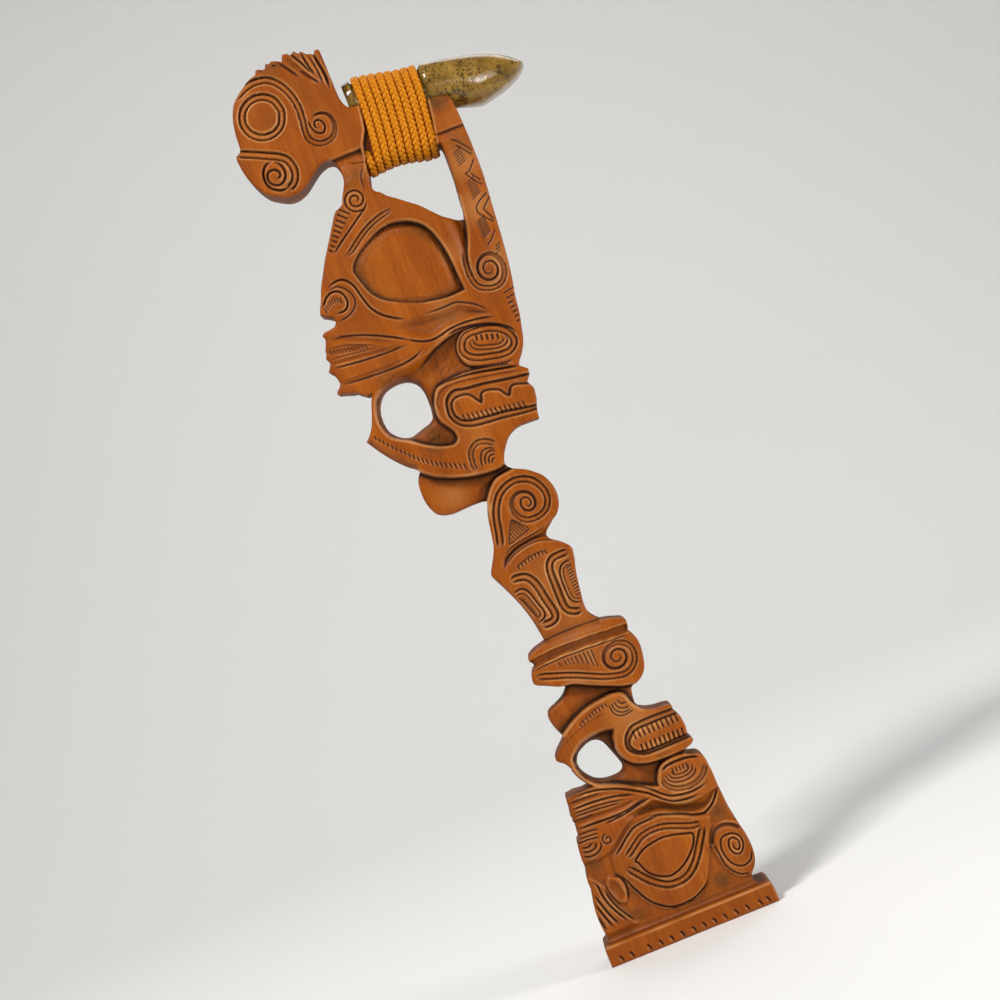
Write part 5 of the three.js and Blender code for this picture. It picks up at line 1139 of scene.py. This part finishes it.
def blade_mesh(name):
    """Rings along X: half ellipses above, and flatter below where the bevel is ground."""
    sections = np.arange(len(BLADE_SECTIONS))
    stations = np.arange(RINGS_PER_SECTION * sections[-1] + 1) / RINGS_PER_SECTION
    fine_x, under, top, width = (np.interp(stations, sections, column)[:, None] for column in BLADE_SECTIONS.T)
    angle = 2 * math.pi * np.arange(BLADE_SIDES) / BLADE_SIDES
    lower_power = ROUND_POWER + (FLAT_POWER - ROUND_POWER) * rise(fine_x, *BEVEL_RUN)
    power = np.where(np.sin(angle) < 0, lower_power, TOP_POWER)
    sideways, up = (np.sign(way) * np.abs(way) ** (2 / power) for way in (np.cos(angle), np.sin(angle)))
    x = fine_x - TIP_BOW * rise(fine_x, *TIP_RUN) * sideways**2
    points = np.stack([x, width * sideways, (under + top) / 2 + (top - under) / 2 * up], -1)
    rings, count = len(fine_x), points[..., 0].size
    ids = np.arange(BLADE_SIDES)
    ahead, last = np.roll(ids, -1), count - BLADE_SIDES
    fans = np.vstack([
        np.stack([np.full(BLADE_SIDES, count), ahead, ids], 1),
        np.stack([np.full(BLADE_SIDES, count + 1), last + ids, last + ahead], 1),
    ])
    all_points = np.vstack([points.reshape(-1, 3), points[0].mean(0), points[-1].mean(0)])
    quads = ring_quads(0, rings, BLADE_SIDES)[:, [0, 3, 2, 1]]  # turned outwards
    return new_mesh(name, all_points, quads, fans)


def stone_material():
    """Ground stone: grey-tan with a mottle, dark flecks and a polished finish."""
    material, tree, shader = new_material("ground_stone")
    mottle = stretched_noise(tree, (75, 75, 75), 6, 0.62)
    grain = stretched_noise(tree, (700, 700, 700), 3)
    clusters = stretched_noise(tree, (110, 110, 110), 2)
    flecks = weighted(tree, (stretched_noise(tree, (620, 620, 620), 2), 1), (clusters, 0.5))
    colour = ramp(tree, mottle,
                  (0.3, (0.085, 0.045, 0.006)), (0.5, (0.225, 0.124, 0.020)), (0.7, (0.34, 0.205, 0.045)))
    colour = mixed(tree, span_of(tree, grain, 0.5, 0.62, 0, 0.5), colour, (0.12, 0.064, 0.011))
    colour = mixed(tree, span_of(tree, flecks, 0.81, 0.88, 0, 0.8), colour, (0.035, 0.020, 0.005))
    tree.links.new(colour, shader.inputs["Base Color"])
    tree.links.new(span_of(tree, grain, 0.3, 0.7, 0.10, 0.17), shader.inputs["Roughness"])
    shader.inputs["Specular IOR Level"].default_value = 0.4
    add_bump(tree, shader, weighted(tree, (grain, 1), (mottle, 2)), 0.00003)
    return material


blade = placed("blade_ground", blade_mesh("blade_ground"), stone_material())
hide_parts("stone_blade")
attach(blade, "root")

# The lashing

CORD_RADIUS = 2.2
TURNS = 8
PITCH = 4.8
FIRST_TOP = 2.4  # x of the first full turn at its top
LASHED_BLADE = (-0.9, 38.4)
CORNER = 7.0  # radius of the crossbar's lower corners
UNDERSIDE = np.array([(-14, 485.2), (-6, 485.4), (0, 486.2), (8, 486.2), (15, 485.2), (20, 484), (25, 482.4),
                      (30, 482), (42, 482)])  # of the crossbar, as x and z
LEAN, LEAN_START, LEAN_HEIGHT = 5.6, 537.4, 57  # the turns lean to the left, more and more from the start down

# A turn runs in steps down the front, under the crossbar and up the back. These are their number, and where
# they reach the side, the corner and the underside.
TURN_STEPS = 48
TO_SIDE, TO_CORNER, TO_UNDERSIDE = 10, 16, 22
FIRST_STEP, LAST_STEP = 18, 27  # of the part turns at the two ends
PITCH_STEPS, PITCH_GAINED = (24, 34, 38), (0, 0.4, 1)  # a turn moves on to the next place up the back
# how the ends run on from the first and the last point into the wood
LEAD = np.array([(-0.6, 9.5, 8.4), (-0.5, 3.5, 8.0), (-0.35, 0.9, 6.6), (-0.15, 0.1, 3.8)])
TAIL = np.array([(0.3, 1.6, 0.4), (0.3, 2.6, 2.4), (0.3, 2.8, 6.5)])

# the plait
SPACING = 0.45  # of the rings along the cord
SMOOTHINGS = 3
WOUND_ABOUT = 508.0  # height of the middle of the turns
LAY = 9.6  # along the cord for one full cycle of the plait
STRANDS = 3
SWAY_SIDEWAYS, SWAY_OUT = 1.2, 0.62
STRAND_SIDES = 10
STRAND_WIDTH, STRAND_HEIGHT = 1.22, 0.92  # halves
TWIST_ROUND, TWIST_ALONG = 3, 1.7  # fine twist of the fibres round a strand and along it


def lashing_route():
    """The cord's centre line: turns round the blade's top and the crossbar, from the left to the right."""
    route = []
    for turn in range(-1, TURNS):
        first = FIRST_STEP if turn < 0 else 0
        last = TURN_STEPS if turn < TURNS - 1 else LAST_STEP
        for step in range(first, last):
            mirrored = step > TURN_STEPS // 2
            local = TURN_STEPS - step if mirrored else step
            top_x = FIRST_TOP + (turn + np.interp(step, PITCH_STEPS, PITCH_GAINED)) * PITCH
            x = top_x
            # the height sets the lean, and the lean sets where the blade and the underside are read
            for _ in range(3):
                at = np.clip(x, *LASHED_BLADE)
                low, top = (np.interp(at, BLADE_SECTIONS[:, 0], BLADE_SECTIONS[:, i]) for i in (1, 2))
                middle, rise_to_top = (top + low) / 2, (top - low) / 2
                corner = np.interp(x, *UNDERSIDE.T) + CORNER
                if local <= TO_SIDE:
                    angle = math.pi / 2 * local / TO_SIDE
                    reach = math.hypot(CROSSBAR_HALF * math.sin(angle), rise_to_top * math.cos(angle))
                    y = (CROSSBAR_HALF**2 / reach + CORD_RADIUS) * math.sin(angle)
                    z = middle + (rise_to_top**2 / reach + CORD_RADIUS) * math.cos(angle)
                elif local <= TO_CORNER:
                    y = CROSSBAR_HALF + CORD_RADIUS
                    z = middle + (corner - middle) * (local - TO_SIDE) / (TO_CORNER - TO_SIDE)
                else:
                    angle = math.pi / 2 * min(1, (local - TO_CORNER) / (TO_UNDERSIDE - TO_CORNER))
                    flat_left = 1 - max(0, local - TO_UNDERSIDE) / (TURN_STEPS // 2 - TO_UNDERSIDE)
                    y = (CROSSBAR_HALF - CORNER) * flat_left + (CORNER + CORD_RADIUS) * math.cos(angle)
                    z = corner - (CORNER + CORD_RADIUS) * math.sin(angle)
                x = top_x - LEAN * passed(z, LEAN_START, LEAN_START - LEAN_HEIGHT) ** 2
            route.append((x, y if mirrored else -y, z))
    return np.vstack([LEAD + route[0], route, TAIL + route[-1]])


def resampled(path, spacing):
    """The lengths along a path at points that far apart, and the points."""
    along = np.concatenate([[0], np.cumsum(np.linalg.norm(np.diff(path, axis=0), axis=1))])
    places = np.linspace(0, along[-1], int(along[-1] / spacing) + 1)
    return places, np.stack([np.interp(places, along, path[:, i]) for i in range(3)], 1)


def plaited_cord(name):
    """Three strands plaited flat along the route, each one a tube."""
    places, middle = resampled(lashing_route(), SPACING)
    for _ in range(SMOOTHINGS):
        middle[1:-1] = (middle[:-2] + 2 * middle[1:-1] + middle[2:]) / 4
    tangent = unit(np.gradient(middle, axis=0))
    out = middle * (0, 1, 1) - (0, 0, WOUND_ABOUT)
    out = unit(out - (out * tangent).sum(1, keepdims=True) * tangent)
    side = np.cross(tangent, out)
    turn = 2 * math.pi * np.arange(STRAND_SIDES)[:, None] / STRAND_SIDES
    points, quads, raised = [], [], []
    for strand in range(STRANDS):
        phase = 2 * math.pi * (places / LAY + strand / STRANDS)[:, None]
        centre_line = middle + side * SWAY_SIDEWAYS * np.sin(phase) + out * SWAY_OUT * np.sin(2 * phase)
        way = unit(np.gradient(centre_line, axis=0))
        across_strand = unit(np.cross(way, out))
        upward = np.cross(across_strand, way)
        points.append((centre_line[:, None] + across_strand[:, None] * STRAND_WIDTH * np.cos(turn)
                       + upward[:, None] * STRAND_HEIGHT * np.sin(turn)).reshape(-1, 3))
        quads.append(ring_quads(strand * len(middle) * STRAND_SIDES, len(middle), STRAND_SIDES))
        # how far a strand comes up and faces out, which the material paints as highlight and shade
        raised.append(0.5 + 0.3 * np.sin(2 * phase) + 0.35 * np.sin(turn.T))
    mesh = new_mesh(name, np.vstack(points), np.vstack(quads))
    twist = np.sin(TWIST_ROUND * turn.T + TWIST_ALONG * places[:, None])
    add_attribute(mesh, "raised", raised)
    add_attribute(mesh, "twist", [twist] * STRANDS)
    return mesh


def cord_material():
    """Golden brown plaited fibre, with a painted highlight where a strand comes up and painted shade where it goes
    under.
    """
    material, tree, shader = new_material("plaited_cord")
    fibres = stretched_noise(tree, (2200, 2200, 700), 3)
    patches = stretched_noise(tree, (110, 110, 90), 3)
    raised, twist = attribute(tree, "raised"), attribute(tree, "twist")
    colour = ramp(tree, fibres,
                  (0.3, (0.34, 0.056, 0.001)), (0.5, (0.56, 0.130, 0.001)), (0.7, (0.74, 0.25, 0.004)))
    # each layer's source, the span that its strength follows, its strength at both ends, and its colour
    for source, low, high, at_low, at_high, tint in (
        (patches, 0.45, 0.7, 0, 0.6, (0.38, 0.065, 0.001)),
        # painted highlight where a strand comes up and faces out, and painted shade where it goes under and faces
        # in
        (raised, 0.55, 1.1, 0, 0.5, (0.80, 0.36, 0.016)),
        (raised, 0.0, 0.5, 0.9, 0, (0.10, 0.018, 0.001)),
        (twist, -1, 0.2, 0.5, 0, (0.20, 0.036, 0.001)),
    ):
        colour = mixed(tree, span_of(tree, source, low, high, at_low, at_high), colour, tint)
    tree.links.new(colour, shader.inputs["Base Color"])
    shader.inputs["Roughness"].default_value = 0.5
    shader.inputs["Specular IOR Level"].default_value = 0.1
    add_bump(tree, shader, weighted(tree, (fibres, 1), (twist, 0.5)), 0.0004)
    return material


cord = placed("lashing_plait", plaited_cord("lashing_plait"), cord_material())
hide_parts("lashing_cord")
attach(cord, "root")

# Stage, camera and light

CAMERA_TILT = math.radians(22)
CAMERA_X, CAMERA_Z = -0.0106, 0.277
CAMERA_DISTANCE = 1.45
FRAME_WIDTH = 0.583  # seen at the plank's front face
SENSOR = 36.0

camera_data = bpy.data.cameras.new("camera")
camera_data.sensor_width = SENSOR
camera_data.lens = SENSOR * CAMERA_DISTANCE / FRAME_WIDTH
camera_data.clip_end = 30
camera = bpy.data.objects.new("camera", camera_data)
up = Vector((math.sin(CAMERA_TILT), 0, math.cos(CAMERA_TILT)))
right = Vector((math.cos(CAMERA_TILT), 0, -math.sin(CAMERA_TILT)))
towards_camera = Vector((0, -1, 0))
placing = Matrix((right, up, towards_camera)).transposed().to_4x4()
placing.translation = Vector((CAMERA_X, -FACE * MM - CAMERA_DISTANCE, CAMERA_Z))
camera.matrix_world = placing
bpy.context.scene.collection.objects.link(camera)
bpy.context.scene.camera = camera

FLOOR_HALF, FLOOR_BACK, CURVE_RADIUS, BACKDROP_TOP = 6.0, 2.2, 1.2, 6.0
CURVE_STEPS = 16


def stage_material():
    material, _, shader = new_material("studio_paper")
    shader.inputs["Base Color"].default_value = (0.86, 0.86, 0.85, 1)
    shader.inputs["Roughness"].default_value = 0.9
    return material


def sweep(name):
    """A pale floor that curves up into a backdrop."""
    angles = math.pi / 2 * np.arange(CURVE_STEPS + 1) / CURVE_STEPS
    curve = [(FLOOR_BACK - CURVE_RADIUS * (1 - math.sin(a)), CURVE_RADIUS * (1 - math.cos(a))) for a in angles]
    profile = [(-FLOOR_HALF, 0.0), *curve, (FLOOR_BACK, BACKDROP_TOP)]
    points = np.array([(x, y, z) for y, z in profile for x in (-FLOOR_HALF, FLOOR_HALF)])
    quads = np.array([(2 * i, 2 * i + 1, 2 * i + 3, 2 * i + 2) for i in range(len(profile) - 1)])
    return new_mesh(name, points / MM, quads)


backdrop = placed("studio_sweep", sweep("studio_sweep"), stage_material())

WARM_WHITE = (1, 0.98, 0.95)
MIDDLE = (0, 0, 0.28)  # of the object


def soft_light(name, place, target, size, power, colour=WARM_WHITE):
    """A flat lamp at a place, turned to a target."""
    data = bpy.data.lights.new(name, "AREA")
    data.shape = "RECTANGLE"
    data.size, data.size_y = size
    data.energy = power
    data.color = colour
    lamp = bpy.data.objects.new(name, data)
    lamp.location = place
    lamp.rotation_euler = (Vector(target) - Vector(place)).to_track_quat("-Z", "Y").to_euler()
    bpy.context.scene.collection.objects.link(lamp)


soft_light("key_top_left", (-0.75, -1.0, 1.75), MIDDLE, (0.4, 0.4), 30)
soft_light("side_right", (1.5, -0.8, 0.45), MIDDLE, (0.5, 0.5), 14)
soft_light("low_right", (1.0, -0.7, 0.03), MIDDLE, (0.3, 0.3), 3, (1, 0.97, 0.92))
soft_light("front_glint", (-0.215, -1.56, 0.70), (0.07, 0, 0.51), (0.1, 0.05), 1.2)
soft_light("back_wash", (0.2, 1.2, 1.8), (0, 0.3, 0.3), (1.4, 1.0), 10, (1, 1, 1))

world = bpy.data.worlds.new("studio_world")
world.use_nodes = True
background = world.node_tree.nodes["Background"]
background.inputs["Color"].default_value = (1, 1, 1, 1)
background.inputs["Strength"].default_value = 0.22
bpy.context.scene.world = world
bpy.context.scene.view_settings.view_transform = "Standard"
